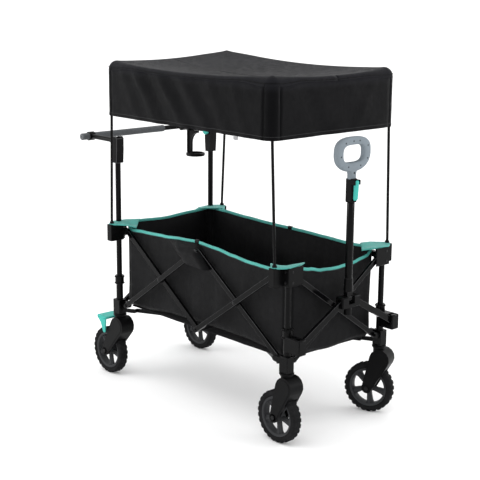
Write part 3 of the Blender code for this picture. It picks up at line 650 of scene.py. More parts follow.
def wall_point(point, normal, drop, full_drop):
    """On the valance, at a drop of 0 for the hem up to full_drop where the rounded edge begins."""
    edge = roof_height(point.x, point.y) - edge_round(point)
    z = CANOPY_HEM + (edge - CANOPY_HEM) * drop / full_drop
    offset = valance_offset(point, normal, z)
    offset += HEM_PROUD if 0.0 < drop <= HEM_DEPTH else 0.0
    return point + normal * offset + Vector((0, 0, z))


def edge_point(point, normal, share):
    """On the rounded edge between the valance and the roof."""
    size, angle = edge_round(point), math.radians(90 * share)
    flat = point - normal * (size * (1 - math.cos(angle)) + 0.0012 * (1 - share))
    height = roof_height(point.x, point.y) - size * (1 - math.sin(angle))
    return flat + Vector((0, 0, height))


def roof_point(point, normal, share):
    """On the roof, from its edge in to the line along its middle."""
    inside_x = CANOPY_X - CANOPY_Y
    start = point - normal * edge_round(point)
    centre_x = max(-inside_x, min(inside_x, start.x * inside_x / (CANOPY_X - ROOF_ROUND)))
    flat = start.lerp(Vector((centre_x, 0, 0)), share)
    lift = roof_height(point.x, point.y) - roof_height(start.x, start.y)
    height = roof_height(flat.x, flat.y) + lift * (1 - share) ** 2
    ripple = 0.0016 * noise.noise(Vector((flat.x * 6, flat.y * 9, 3.0))) * smoothstep(0.0, 0.3, share)
    return flat + Vector((0, 0, height + ripple))


def canopy_rows():
    """Rows from the hem up the valance, over the rounded edge and in to the middle of the roof."""
    columns = perimeter(CANOPY_X, CANOPY_Y, CANOPY_CORNER, 0.0145)
    drops = [0.0, 0.0035, HEM_DEPTH, 0.0125] + [0.0125 + 0.0135 * i for i in range(1, 13)]
    rows = [[wall_point(point, normal, drop, drops[-1]) for point, normal in columns] for drop in drops]
    rows += [[edge_point(point, normal, i / 5) for point, normal in columns] for i in range(1, 6)]
    rows += [[roof_point(point, normal, i / 20) for point, normal in columns] for i in range(1, 21)]
    return rows, columns, len(drops) - 1


def canopy():
    rows, columns, top_row = canopy_rows()
    inner_x, inner_y = CANOPY_X - CANOPY_CORNER, CANOPY_Y - CANOPY_CORNER
    shell_pieces("canopy_valance", "canopy", rows[: top_row + 1], columns, inner_x, inner_y, CANOPY_CLOTH)
    roof = rows[top_row:]
    halves = {"right": [], "left": []}
    for i, (point, _) in enumerate(columns):
        j = (i + 1) % len(columns)
        halves["right" if point.y + columns[j][0].y < 0 else "left"].append((i, j))
    for side, pairs in halves.items():
        mesh = shell_mesh(f"canopy_roof_{side}", roof, quads_between(len(roof), pairs))
        bm = bmesh.new()
        bm.from_mesh(mesh)
        bmesh.ops.remove_doubles(bm, verts=bm.verts, dist=1e-4)
        bm.to_mesh(mesh)
        bm.free()
        piece = add_piece(f"canopy_roof_{side}", mesh, "canopy", UPPER_BODY[side])
        thicken(piece, CANOPY_CLOTH)
        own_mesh(piece)
    canopy_seams(rows, columns, top_row, inner_x, inner_y)
    canopy_tag()


def canopy_seams(rows, columns, top_row, inner_x, inner_y):
    """Bound seams: along the roof's edge and down each corner, and the hem's line of stitches."""
    for row, name, size in ((top_row + 1, "piping", 0.0014), (3, "hem_stitches", 0.00045)):
        material = "canopy_seam" if name == "piping" else "thread"
        for part, run in seam_runs(columns, inner_x, inner_y).items():
            path = [rows[row][i] + columns[i][1] * 0.0004 + Vector((CENTRE_X, 0, 0)) for i in run]
            bm = bmesh.new()
            sweep(bm, path, oval(size, size, 8))
            piece = build(f"canopy_{name}_{part}", bm, 40.0, material, body_for(part))
            follow_fold(piece, part)
    for end, side in CORNERS:
        parts = [part_of(point[:2], inner_x - 0.001, inner_y - 0.001) for point, _ in columns]
        picks = [i for i, part in enumerate(parts) if part == f"{end}_{side}"]
        column = min(picks, key=lambda i: abs(columns[i][1].x))
        normal = columns[column][1]
        path = [rows[k][column] + normal * 0.0002 + Vector((CENTRE_X, 0, 0)) for k in range(top_row + 2)]
        bm = bmesh.new()
        sweep(bm, path, oval(0.0009, 0.0009, 8), up=(-normal.y, normal.x, 0))
        build(f"canopy_seam_{end}_{side}", bm, 40.0, "canopy_seam", f"{end}_{side}_upper")


TAG_X = 0.250


def canopy_tag():
    """The small folded loop sewn into the hem, left blank."""
    bm = bmesh.new()
    y = -CANOPY_Y
    path = [w(TAG_X, y + 0.0022, CANOPY_HEM + 0.006), w(TAG_X, y + 0.0020, CANOPY_HEM - 0.010)]
    path += [w(TAG_X, y + 0.0008, CANOPY_HEM - 0.0125), w(TAG_X, y - 0.0004, CANOPY_HEM - 0.010)]
    path += [w(TAG_X, y - 0.0006, CANOPY_HEM + 0.001)]
    sweep(bm, path, oval(0.0085, 0.0004, 8, 6.0), up=(0, 1, 0))
    piece = build("canopy_tag", bm, 40.0, "tag", "rear_right_upper")
    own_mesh(piece)


# Basket.
BASKET_X, BASKET_Y = 0.4020, 0.1925
BASKET_CORNER = 0.019
BASKET_CLOTH = 0.0030
BASKET_SLACK = (-0.010, 0.0035)
FLAP_CLOTH = 0.0014
# Heights of the rim and of the bottom edge, at places along x on a side and along y at an end.
RIM_RIGHT = [
    (-0.40, 0.556), (-0.37, 0.541), (-0.30, 0.545), (-0.19, 0.549), (-0.10, 0.556), (-0.02, 0.560),
    (0.07, 0.555), (0.15, 0.546), (0.23, 0.539), (0.31, 0.537), (0.37, 0.541), (0.40, 0.553),
]
RIM_LEFT = [
    (-0.40, 0.566), (-0.32, 0.566), (-0.21, 0.562), (-0.07, 0.559), (0.07, 0.559), (0.18, 0.557),
    (0.30, 0.554), (0.40, 0.560),
]
RIM_FRONT = [
    (-0.19, 0.553), (-0.15, 0.545), (-0.10, 0.536), (-0.05, 0.525), (0.01, 0.521), (0.08, 0.524),
    (0.15, 0.535), (0.19, 0.558),
]
RIM_REAR = [(-0.19, 0.556), (-0.15, 0.562), (-0.02, 0.556), (0.10, 0.562), (0.19, 0.566)]
BOTTOM_SIDE = [
    (-0.40, 0.266), (-0.30, 0.268), (-0.15, 0.282), (0.0, 0.285), (0.20, 0.284), (0.32, 0.276),
    (0.40, 0.264),
]
BOTTOM_END = [(-0.19, 0.262), (-0.12, 0.266), (0.0, 0.258), (0.12, 0.266), (0.19, 0.262)]
# Upright pleats: place, width and height of each.
SIDE_PLEATS = [
    (-0.115, 0.012, 0.0028), (-0.060, 0.016, -0.003), (-0.015, 0.010, 0.0026),
    (0.050, 0.014, -0.0028), (0.095, 0.018, 0.0024), (0.235, 0.020, -0.002),
]
END_PLEATS = [(-0.10, 0.016, 0.002), (-0.02, 0.020, -0.0026), (0.07, 0.016, 0.002)]


def rim_height(point, normal):
    side = through(RIM_LEFT if point.y > 0 else RIM_RIGHT, point.x)
    end = through(RIM_FRONT if point.x > 0 else RIM_REAR, point.y)
    share = normal.y**2
    return side * share + end * (1 - share)


def hem_height(point, normal):
    share = normal.y**2
    return through(BOTTOM_SIDE, point.x) * share + through(BOTTOM_END, point.y) * (1 - share)


def basket_offset(point, normal, t):
    """Loose cloth between the rim and the floor: it hangs in a shallow bow with upright pleats."""
    along = point.x if abs(normal.y) > 0.7 else point.y
    seed = Vector((point.x * 14, point.y * 14, t * 1.6 + normal.x))
    bow = -0.0030 * math.sin(math.pi * min(1.0, t)) + 0.0035 * noise.noise(seed) * smoothstep(1.0, 0.8, t)
    bow += 0.0016 * noise.noise(Vector((along * 55, t * 2.5, normal.y * 3 + 7)))
    pleats, fade = [], 0.0
    if abs(normal.y) > 0.7:
        pleats, fade = SIDE_PLEATS, smoothstep(0.85, 0.35, t)
    elif abs(normal.x) > 0.7:
        pleats, fade = END_PLEATS, smoothstep(0.9, 0.4, t)
    for place, width, height in pleats:
        bow += height * fade * ridge(along - place, width)
    return max(BASKET_SLACK[0], min(BASKET_SLACK[1], bow))


def basket_rows():
    columns = perimeter(BASKET_X, BASKET_Y, BASKET_CORNER, 0.013)
    rows = []
    steps = 22
    for k in range(steps + 1):
        t = k / steps
        row = []
        for point, normal in columns:
            low, high = hem_height(point, normal), rim_height(point, normal)
            turned = 0.010 * smoothstep(0.06, 0.0, t)  # the lower edge turns in to the floor
            offset = basket_offset(point, normal, t) * smoothstep(0.0, 0.08, t) - turned
            row.append(point + normal * offset + Vector((0, 0, low + (high - low) * t)))
        rows.append(row)
    return rows, columns


def basket():
    rows, columns = basket_rows()
    inner_x, inner_y = BASKET_X - BASKET_CORNER, BASKET_Y - BASKET_CORNER
    shell_pieces("basket", "basket", rows, columns, inner_x, inner_y, BASKET_CLOTH)
    basket_binding(rows, columns, inner_x, inner_y)
    for end, side in CORNERS:
        corner_web(end, side)
        floor_quarter(end, side)
    for side in SIDES:
        pivot_flap(side)
        rim_tab(side)


def basket_binding(rows, columns, inner_x, inner_y):
    """The teal tape folded over the rim, and the row of stitches under it."""
    for part, run in seam_runs(columns, inner_x, inner_y).items():
        tape, stitches = [], []
        for i in run:
            point, normal = rows[-1][i], columns[i][1]
            tape.append(point - normal * 0.0015 + Vector((CENTRE_X, 0, -0.0034)))
            stitches.append(point + normal * 0.0016 + Vector((CENTRE_X, 0, -0.0092)))
        bm = bmesh.new()
        sweep(bm, tape, oval(0.0030, 0.0049, 12, 3.2))
        piece = build(f"basket_binding_{part}", bm, 60, "binding", body_for(part))
        follow_fold(piece, part)
        bm = bmesh.new()
        sweep(bm, stitches, oval(0.0005, 0.0005, 6))
        piece = build(f"basket_stitches_{part}", bm, 40.0, "thread", body_for(part))
        follow_fold(piece, part)


WEB_Z = 0.5623  # the webs lie on the corner brackets
WEB_REACH = 0.052  # how far along the rim a web is sewn, from the corner
RIM_TABS = {"right": -0.020, "left": 0.021}


def rim_tab(side):
    """The short black keeper that pins the binding to the flap underneath."""
    y = SIDES[side] * (BASKET_Y - 0.0015)
    heights = RIM_LEFT if side == "left" else RIM_RIGHT
    places = [RIM_TABS[side] + step for step in (-0.0090, -0.0045, 0.0, 0.0045, 0.0090)]
    path = [w(x, y, through(heights, x) - 0.0030) for x in places]
    bm = bmesh.new()
    sweep(bm, path, oval(0.0048, 0.0068, 16, 3.0))
    build(f"rim_tab_{side}", bm, 50, "plastic", UPPER_BODY[side])


def corner_web(end, side):
    """The flat teal gusset from the rim to a corner bracket and the foot of its pole."""
    sx, sy = corner_signs(end, side)
    start = Vector((BASKET_X - WEB_REACH, BASKET_Y - 0.004))
    finish = Vector((BASKET_X - 0.004, BASKET_Y - WEB_REACH))
    outline = [
        (BASKET_X - WEB_REACH - 0.012, BASKET_Y + 0.0035),
        (0.3560, 0.2220),
        (0.3800, 0.2440),
        (0.3945, 0.2590),
        (0.4080, 0.2595),
        (0.4250, 0.2380),
        (0.4365, 0.2190),
        (0.4290, 0.1700),
        (BASKET_X + 0.0035, BASKET_Y - WEB_REACH - 0.012),
    ]
    bm = bmesh.new()
    rings = []
    for t in (0.0, 0.3, 0.6, 0.85, 1.0):
        ring = []
        for i, (x, y) in enumerate(outline):
            inner = start.lerp(finish, i / (len(outline) - 1))
            flat = inner.lerp(Vector((x, y)), t)
            lie = Vector((sx * flat.x, sy * flat.y, 0))
            on_rim = Vector((sx * min(flat.x, BASKET_X), sy * min(flat.y, BASKET_Y), 0))
            rim = rim_height(on_rim, Vector((0.7, 0.7, 0)))
            on_bracket = smoothstep(0.0, 0.035, max(flat.x - BASKET_X + 0.02, flat.y - BASKET_Y))
            z = rim + 0.0020 + (WEB_Z - rim - 0.0020) * on_bracket
            ring.append(bm.verts.new(lie + Vector((CENTRE_X, 0, z))))
        rings.append(ring)
    rings.append([bm.verts.new(vertex.co + Vector((0, 0, -0.0030))) for vertex in rings[-1]])
    rings.insert(0, [bm.verts.new(vertex.co + Vector((0, 0, -0.0030))) for vertex in rings[0]])
    for first, second in zip(rings, rings[1:]):
        bridge(bm, first, second, closed=False)
    piece = build(f"corner_web_{end}_{side}", bm, 60, "binding", f"{end}_{side}_upper")
    thicken(piece, FLAP_CLOTH, inward=False)


FLOOR_Z = 0.2625
FLOOR_PAD = 0.0040
FLOOR_INSET = 0.014  # the floor stops short of the basket's walls


def floor_quarter(end, side):
    """A quarter of the padded floor. It lies on its floor arm and folds up with it."""
    sx, sy = corner_signs(end, side)
    steps_x, steps_y = 22, 12
    bm = bmesh.new()
    grid = []
    for i in range(steps_x + 1):
        row = []
        for j in range(steps_y + 1):
            u, v = i / steps_x, j / steps_y
            x, y = (BASKET_X - FLOOR_INSET) * u, (BASKET_Y - FLOOR_INSET) * v
            pad = 0.0022 * (1 - (2 * u - 1) ** 8) * (1 - (2 * v - 1) ** 8)
            pad += 0.0010 * noise.noise(Vector((x * 18 * sx, y * 18 * sy, 1.0)))
            row.append(bm.verts.new(w(sx * x, sy * y, FLOOR_Z + pad)))
        grid.append(row)
    skin_grid(bm, grid)
    piece = build(f"basket_floor_{end}_{side}", bm, 180, "floor_cloth", f"floor_arm_{end}_{side}")
    thicken(piece, FLOOR_PAD)
    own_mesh(piece)


def pivot_flap(side):
    """The cloth flap that hangs from the rim over the scissor's top pivot."""
    sign = SIDES[side]
    across, down = 18, 12
    bm = bmesh.new()
    grid = []
    for i in range(across + 1):
        row = []
        u = i / across
        for j in range(down + 1):
            v = j / down
            x = (-0.165 + 0.160 * u) * (1 - v) + (-0.112 + 0.178 * u) * v
            top = through(RIM_LEFT if side == "left" else RIM_RIGHT, x) - 0.008
            z = top + (0.4930 - 0.012 * u - top) * v
            belly = smoothstep(-0.1, 0.42, v) * smoothstep(0.0, 0.46, u) * smoothstep(1.0, 0.93, u)
            y = BASKET_Y + 0.0022 + 0.0360 * belly + 0.0010 * noise.noise(Vector((x * 40, v * 4, 2.0)))
            row.append(bm.verts.new(w(x, sign * y, z)))
        grid.append(row)
    skin_grid(bm, grid)
    piece = build(f"pivot_flap_{side}", bm, 180, "basket", UPPER_BODY[side])
    thicken(piece, FLAP_CLOTH)
    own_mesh(piece)


# Wheels.


def yaw_of(end, side):
    return FRONT_LEFT_YAW if (end, side) == ("front", "left") else 0.0


def post_point(end, side):
    sx, sy = corner_signs(end, side)
    return w(sx * HALF_X, sy * HALF_Y, 0)


def fork_body(end, side):
    """The front forks swivel, and the rear ones are fixed to their posts."""
    return f"caster_{end}_{side}" if end == "front" else f"{end}_{side}_lower"


def axle_matrix(end, side):
    """At a wheel's centre: local Z along the axle, to the wagon's left, local X forwards."""
    turn = Matrix.Rotation(yaw_of(end, side), 3, "Z")
    centre = post_point(end, side) + turn @ Vector((-TRAIL[end], 0, WHEEL_RADIUS))
    return axes_matrix(centre, turn @ Vector((1, 0, 0)), turn @ Vector((0, 1, 0)))


LUGS = 26
GROOVE = -0.0016  # depth between the lugs
TREAD_STEPS = LUGS * 8
TYRE_PROFILE = mirrored([
    (0.0640, -0.0132), (0.0655, -0.0150), (0.0690, -0.0158), (0.0735, -0.0162), (0.0762, -0.0161),
    (0.0785, -0.0154), (0.0806, -0.0134), (0.0818, -0.0104), (0.0822, -0.0070), (0.0822, -0.0022),
])
RIM_BAND = mirrored([(0.0560, -0.0120), (0.0575, -0.0136), (0.0622, -0.0140), (0.0637, -0.0150)])
RIM_BAND += [(0.0548, 0.0040), (0.0548, -0.0040)]
RIM_HUB = mirrored([
    (0.0045, -0.0170), (0.0105, -0.0172), (0.0125, -0.0160), (0.0130, -0.0130), (0.0170, -0.0105),
    (0.0182, -0.0060),
])
SPOKES = 5
# Radius, half width and half depth of a spoke, and the corners of its section as shares of these.
SPOKE_PROFILE = [
    (0.0160, 0.0072, 0.0082), (0.0300, 0.0082, 0.0068), (0.0450, 0.0100, 0.0064), (0.0560, 0.0128, 0.0090),
]
SPOKE_SECTION = [
    (-1.0, -0.62), (-0.42, -0.70), (-0.30, -1.0), (0.30, -1.0), (0.42, -0.70), (1.0, -0.62),
    (1.0, 0.62), (0.42, 0.70), (0.30, 1.0), (-0.30, 1.0), (-0.42, 0.70), (-1.0, 0.62),
]


def tread(angle, row):
    """Shoulder lugs in two staggered rows that reach down the sidewall, and a ribbed middle."""
    middle = (len(TYRE_PROFILE) - 1) / 2
    side = 1 if row > middle else -1
    from_middle = abs(row - middle)
    turn = angle * LUGS / (2 * math.pi) + (0.25 if side > 0 else -0.25)
    within = abs(turn - round(turn))
    lug = smoothstep(0.34, 0.24, within)
    if from_middle < 1:
        return 0.0012 - 0.0016 * (1 - smoothstep(0.36, 0.28, abs(turn * 2 - round(turn * 2))))
    if from_middle < 2:
        return GROOVE + 0.0030 * lug * 0.5
    if from_middle < 6:
        return GROOVE + 0.0033 * lug
    if from_middle < 7:
        return 0.0012 * lug
    return 0.0


def wheel(end, side):
    matrix = axle_matrix(end, side)
    body = f"wheel_{end}_{side}"
    bm = bmesh.new()
    lathe(bm, TYRE_PROFILE, TREAD_STEPS, matrix, closed=True, shape=tread)
    build(f"tyre_tread_{end}_{side}", bm, 50, "rubber", body, [f"tyre_{end}_{side}"])
    bm = bmesh.new()
    lathe(bm, RIM_BAND, 96, matrix, closed=True)
    lathe(bm, RIM_HUB, 48, matrix)
    for i in range(SPOKES):
        spoke(bm, matrix @ Matrix.Rotation(math.radians(12 + 360 / SPOKES * i), 4, "Z"))
    rim_piece = build(f"rim_spokes_{end}_{side}", bm, 35, "rim", body, [f"rim_{end}_{side}"])
    soften(rim_piece, 0.0006, 30)


def spoke(bm, matrix):
    """A broad spoke that widens to the band, with a raised rib down its middle on both faces."""
    rings = []
    for radius, half_width, half_depth in SPOKE_PROFILE:
        corners = [Vector((radius, a * half_width, b * half_depth)) for a, b in SPOKE_SECTION]
        rings.append([bm.verts.new(matrix @ corner) for corner in corners])
    join_rings(bm, rings)


def fork_faces(end, side):
    """The raised field on each cheek of a fork: it follows the cheek's outline, inside a border."""
    knee, boss = Vector((0.012, 0.188)), Vector((-TRAIL[end], WHEEL_RADIUS))
    lean = math.atan2(boss.y - knee.y, boss.x - knee.x)
    outline = []
    for centre, radius, turn in ((knee, 0.0270, 90), (boss, 0.0125, -90)):
        for i in range(13):
            angle = lean + math.radians(turn + 180 * i / 12)
            outline.append((centre.x + radius * math.cos(angle), centre.y + radius * math.sin(angle)))
    sx, sy = corner_signs(end, side)
    centre = w(0, 0, 0)
    post = centre + Vector((sx * HALF_X, sy * HALF_Y, 0))
    turn = Matrix.Rotation(yaw_of(end, side), 4, "Z")
    place = Matrix.Translation(post) @ turn @ Matrix.Translation(-centre)
    bm = bmesh.new()
    for sign in (-1, 1):
        low, high = sorted((sign * 0.0262, sign * 0.0277))
        flat_plate(bm, outline, low, high)
    bmesh.ops.transform(bm, matrix=place, verts=bm.verts)
    build(f"fork_faces_{end}_{side}", bm, 30, "fork", fork_body(end, side))


# Profiles of (radius, height) round the posts.
SWIVEL_COLLAR = [
    (0.0180, 0.2222), (0.0200, 0.2224), (0.0206, 0.2232), (0.0206, 0.2244), (0.0200, 0.2252),
    (0.0180, 0.2254),
]
SWIVEL_FLANGE = [
    (0.0180, 0.2262), (0.0222, 0.2264), (0.0232, 0.2274), (0.0232, 0.2304), (0.0222, 0.2314),
    (0.0180, 0.2318),
]
FORK_FACE = 0.0265  # outer face of a fork's cheek, along the axle
AXLE_NUT = [(0.0074, 0.0010), (0.0074, 0.0040), (0.0062, 0.0046)]  # heights are from that face


def caster_hardware(end, side):
    """The swivel's pressed flange ring, and the cap nuts and washers on the axle."""
    upright = Matrix.Translation(post_point(end, side))
    bm = bmesh.new()
    lathe(bm, SWIVEL_COLLAR, 48, upright, closed=True)
    matrix = axle_matrix(end, side)
    for sign in (-1, 1):
        face = FORK_FACE * sign
        back = face + 0.0012 * sign
        lathe(bm, [(0.0060, face), (0.0118, face), (0.0118, back), (0.0060, back)], 32, matrix, closed=True)
        nut = [(radius, face + rise * sign) for radius, rise in AXLE_NUT]
        lathe(bm, nut, 6, matrix)
    build(f"caster_hardware_{end}_{side}", bm, 30, "bolt", fork_body(end, side))
    bm = bmesh.new()
    lathe(bm, SWIVEL_FLANGE, 48, upright, closed=True)
    build(f"swivel_flange_{end}_{side}", bm, 40, "plastic", f"{end}_{side}_lower")


# Frame.


def rivets():
    """Domed rivet heads on the outer faces of the scissor bars, at every pivot."""
    heads = {}

    def head(body, point, normal):
        heads.setdefault(body, []).append((point, normal))

    middle = (PIVOT_LOW + PIVOT_HIGH) / 2
    for side, sy in SIDES.items():
        out = Vector((0, sy, 0))
        y = sy * BAR_OUTER
        rear, front = f"side_bar_{side}_rear_rising", f"side_bar_{side}_front_rising"
        head(rear, w(-REACH_X / 2, y, middle), out)
        head(front, w(REACH_X / 2, y, middle), out)
        head(rear, w(0, y, PIVOT_HIGH), out)
        head(rear, w(-REACH_X, y, PIVOT_LOW), out)
        head(front, w(0, y, PIVOT_LOW), out)
        head(front, w(REACH_X, y, PIVOT_HIGH), out)
    for end, sx in ENDS.items():
        head(f"end_bar_{end}_rising", w(sx * END_OUTER, 0, middle), Vector((sx, 0, 0)))
    for body, spots in heads.items():
        bm = bmesh.new()
        for point, normal in spots:
            dome(bm, point, normal, 0.0062, 0.0022)
        build(f"rivets_{body}", bm, 60, "bolt", body)


def post_details():
    """The split collars where the posts telescope, with their clamp screws, and bracket screws."""
    for end, side in CORNERS:
        sx, sy = corner_signs(end, side)
        post = post_point(end, side)
        bm = bmesh.new()
        for z in (0.3425, 0.3655):
            ring = [(0.0166, z - 0.0016), (0.0178, z - 0.0010), (0.0178, z + 0.0010), (0.0166, z + 0.0016)]
            lathe(bm, ring, 40, Matrix.Translation(post), closed=True)
        dome(bm, post + Vector((sx * 0.0168, 0, 0.354)), (sx, 0, 0), 0.0042, 0.0020)
        build(f"collar_rings_{end}_{side}", bm, 50, "plastic", f"{end}_{side}_lower")
        bm = bmesh.new()
        for z in (0.515, 0.548):
            dome(bm, post + Vector((0.004 * sx, sy * 0.0165, z)), (0, sy, 0), 0.0040, 0.0016)
            dome(bm, post + Vector((sx * 0.0185, 0, z)), (sx, 0, 0), 0.0040, 0.0016)
        build(f"bracket_screws_{end}_{side}", bm, 60, "bolt", f"{end}_{side}_upper")


# The canopy poles run as they do in the CAD: foot, socket's mouth, knee and top, with x and y of
# the front left one.
POLE_POINTS = [
    (0.4030, 0.2520, 0.5310), (0.4030, 0.2520, 0.5850), (0.3900, 0.2555, 0.9300), (0.3880, 0.2555, 1.1050),
]
POLE_RADIUS = 0.0045
FERRULE = [(0.0045, 0.5615), (0.0074, 0.5615), (0.0074, 0.5675), (0.0062, 0.5705), (0.0045, 0.5707)]


def poles():
    """The canopy's thin tubes, from their sockets to the fabric corners they hold up."""
    for end, side in CORNERS:
        sx, sy = corner_signs(end, side)
        path = [w(sx * x, sy * y, z) for x, y, z in POLE_POINTS]
        bm = bmesh.new()
        sweep(bm, path, oval(POLE_RADIUS, POLE_RADIUS, 20), up=(0, 1, 0))
        name = f"canopy_pole_{end}_{side}"
        build(f"{name}_tube", bm, 60, "steel", f"{end}_{side}_upper", [name])
        bm = bmesh.new()
        foot = Vector((path[0].x, path[0].y, 0))
        lathe(bm, FERRULE, 32, Matrix.Translation(foot), closed=True)
        build(f"pole_ferrule_{end}_{side}", bm, 50, "plastic", f"{end}_{side}_upper")


# Handles.

GRIP_MIDDLE = 0.8875
GRIP_HALF_WIDTH, GRIP_RISE, GRIP_DROP = 0.0745, 0.0505, 0.0560
GRIP_HOLE = (0.0450, 0.0260)
GRIP_SCREWS = (20, 62, 100, 140, 185, 235, 305, 342)  # places round the grip, in degrees
YOKE_X = 0.470


def superellipse(angle, half_width, half_height, power):
    c, s = abs(math.cos(angle)) / half_width, abs(math.sin(angle)) / half_height
    return (c**power + s**power) ** (-1 / power)


def grip_band(angle):
    """The middle and half the breadth of the grip's band, as radii in the direction of an angle."""
    top = math.sin(angle) > 0
    outer = superellipse(angle, GRIP_HALF_WIDTH, GRIP_RISE if top else GRIP_DROP, 2.9 if top else 2.15)
    inner = superellipse(angle, GRIP_HOLE[0], GRIP_HOLE[1], 3.4)
    return (outer + inner) / 2, (outer - inner) / 2


def pull_grip():
    """The rounded D of the pull handle, fuller outside than round the hole, and its tapered neck."""
    steps, around = 96, 20
    bm = bmesh.new()
    rings = []
    for i in range(steps):
        angle = 2 * math.pi * i / steps
        middle, half = grip_band(angle)
        direction = Vector((0, math.cos(angle), math.sin(angle)))
        ring = []
        for k in range(around):
            turn = 2 * math.pi * k / around
            c, s = math.cos(turn), math.sin(turn)
            radial = middle + half * math.copysign(abs(c) ** 0.62, c)
            depth = 0.0118 * math.copysign(abs(s) ** 0.62, s)
            ring.append(bm.verts.new(w(YOKE_X + depth, 0, GRIP_MIDDLE) + direction * radial))
        rings.append(ring)
    join_rings(bm, rings, closed=True)
    neck = [w(YOKE_X, 0, z) for z in (0.7960, 0.8120, 0.8240, 0.8340, 0.8440)]
    sizes = [(0.0125, 0.0105), (0.0125, 0.0105), (0.0126, 0.0106), (0.0150, 0.0110), (0.0230, 0.0112)]

    def section(t):
        half_y, half_x = sizes[min(4, round(t * 4))]
        return oval(half_y, half_x, 24, 3.6)

    sweep(bm, neck, section, up=(1, 0, 0))
    build("grip_body", bm, 50, "grip", "pull_inner", ["pull_grip"])
    bm = bmesh.new()
    for degrees in GRIP_SCREWS:
        angle = math.radians(degrees)
        radius = grip_band(angle)[0]
        y, z = radius * math.cos(angle), GRIP_MIDDLE + radius * math.sin(angle)
        for sign in (-1, 1):
            dome(bm, w(YOKE_X + sign * 0.01165, y, z), (sign, 0, 0), 0.0024, 0.0004)
    for sign in (-1, 1):
        dome(bm, w(YOKE_X + sign * 0.0108, 0, 0.8290), (sign, 0, 0), 0.0032, 0.0005)
    build("grip_screws", bm, 60, "plastic", "pull_inner")


def pull_tube_cover():
    """The thick outer tube of the telescoping handle, with rolled ends."""
    bm = bmesh.new()
    low, high, bore, outer = 0.500, 0.7368, 0.0102, 0.0119
    profile = [(bore, low), (outer - 0.0006, low), (outer, low + 0.0012)]
    profile += [(outer, high - 0.0012), (outer - 0.0006, high), (bore, high)]
    lathe(bm, profile, 36, Matrix.Translation(w(YOKE_X, 0, 0)), closed=True)
    build("pull_tube_cover", bm, 60, "steel", "pull_outer")


# The lever's x, z and half thickness, from its top down.
TRIGGER = [
    (0.4903, 0.8066, 0.0026), (0.4905, 0.8048, 0.0050), (0.4905, 0.8010, 0.0060), (0.4903, 0.7920, 0.0056),
    (0.4898, 0.7780, 0.0054), (0.4891, 0.7640, 0.0050), (0.4886, 0.7510, 0.0043), (0.4885, 0.7462, 0.0020),
]


def pull_trigger():
    """A plump lever hung from its pin, as long as the CAD's own."""
    bm = bmesh.new()

    def section(t):
        half_x = TRIGGER[min(7, round(t * 7))][2]
        half_y = 0.0085 if half_x > 0.004 else 0.0068
        return oval(half_y, half_x, 20, 2.8)

    sweep(bm, [w(x, 0, z) for x, z, _ in TRIGGER], section, up=(1, 0, 0))
    build("pull_trigger_lever", bm, 70, "teal", "pull_trigger", ["pull_trigger"])


def flat_plate(bm, outline, y_low, y_high):
    """A plate cut to an outline of (x, z) points, with a slight chamfer on both faces."""
    middle = Vector((sum(x for x, _ in outline), sum(z for _, z in outline))) / len(outline)
    rings = []
    for y, shrink in ((y_low, 0.0008), (y_low + 0.0008, 0), (y_high - 0.0008, 0), (y_high, 0.0008)):
        ring = []
        for x, z in outline:
            inward = (middle - Vector((x, z))).normalized() * shrink
            ring.append(bm.verts.new(w(x + inward.x, y, z + inward.y)))
        rings.append(ring)
    for first, second in zip(rings, rings[1:]):
        bridge(bm, first, second)
    bm.faces.new(rings[0])
    bm.faces.new(rings[-1])
    bmesh.ops.recalc_face_normals(bm, faces=bm.faces)


BRAKE_CHEEK = [
    (-0.0880, 0.2060), (-0.0400, 0.2060), (-0.0405, 0.1900), (-0.0430, 0.1700), (-0.0450, 0.1570),
    (-0.0500, 0.1545), (-0.0550, 0.1570), (-0.0600, 0.1730), (-0.0690, 0.1900), (-0.0800, 0.2000),
]


def brake_cheeks(side):
    """The pedal's two cheeks, which taper from the foot pad down to the pivot."""
    bm = bmesh.new()
    for sign in (-1, 1):
        low, high = sorted((sign * 0.0306, sign * 0.0354))
        outline = [(x - HALF_X, z) for x, z in BRAKE_CHEEK]
        flat_plate(bm, outline, SIDES[side] * HALF_Y + low, SIDES[side] * HALF_Y + high)
    build(f"brake_cheeks_{side}", bm, 30, "teal", f"brake_{side}")


PUSH_X, PUSH_Z = -0.576, 0.843  # the crossbar's axis
CUP_X, CUP_Z, CUP_RADIUS = -0.505, 0.746, 0.031
STRAP_X = -0.539
CLIP = [
    (0.0092, -0.0100), (0.0130, -0.0100), (0.0137, -0.0090), (0.0137, 0.0090), (0.0130, 0.0100),
    (0.0092, 0.0100),
]


def push_bar_sleeve():
    """The thick half of the crossbar: a soft sleeve with rolled ends and shallow finger grooves."""
    bm = bmesh.new()
    start, finish, steps = -0.250, 0.115, 73
    matrix = axes_matrix(w(PUSH_X, 0, PUSH_Z), (1, 0, 0), (0, 1, 0))
    profile = [(0.0093, finish), (0.0093, start + 0.021), (0.0020, start + 0.0205), (0.0020, start)]
    profile += [(0.0095, start), (0.0112, start + 0.0008), (0.0119, start + 0.0026)]
    for i in range(1, steps):
        y = start + 0.004 + (finish - start - 0.008) * i / steps
        on_grip = smoothstep(-0.150, -0.140, y) * smoothstep(0.075, 0.065, y)
        profile.append((0.0118 - 0.0005 * on_grip * (0.5 + 0.5 * math.cos(2 * math.pi * y / 0.010)), y))
    profile += [(0.0119, finish - 0.0026), (0.0112, finish - 0.0008)]
    lathe(bm, profile, 36, matrix, closed=True)
    build("push_bar_sleeve", bm, 60, "sleeve", "push_bar", ["push_bar"])


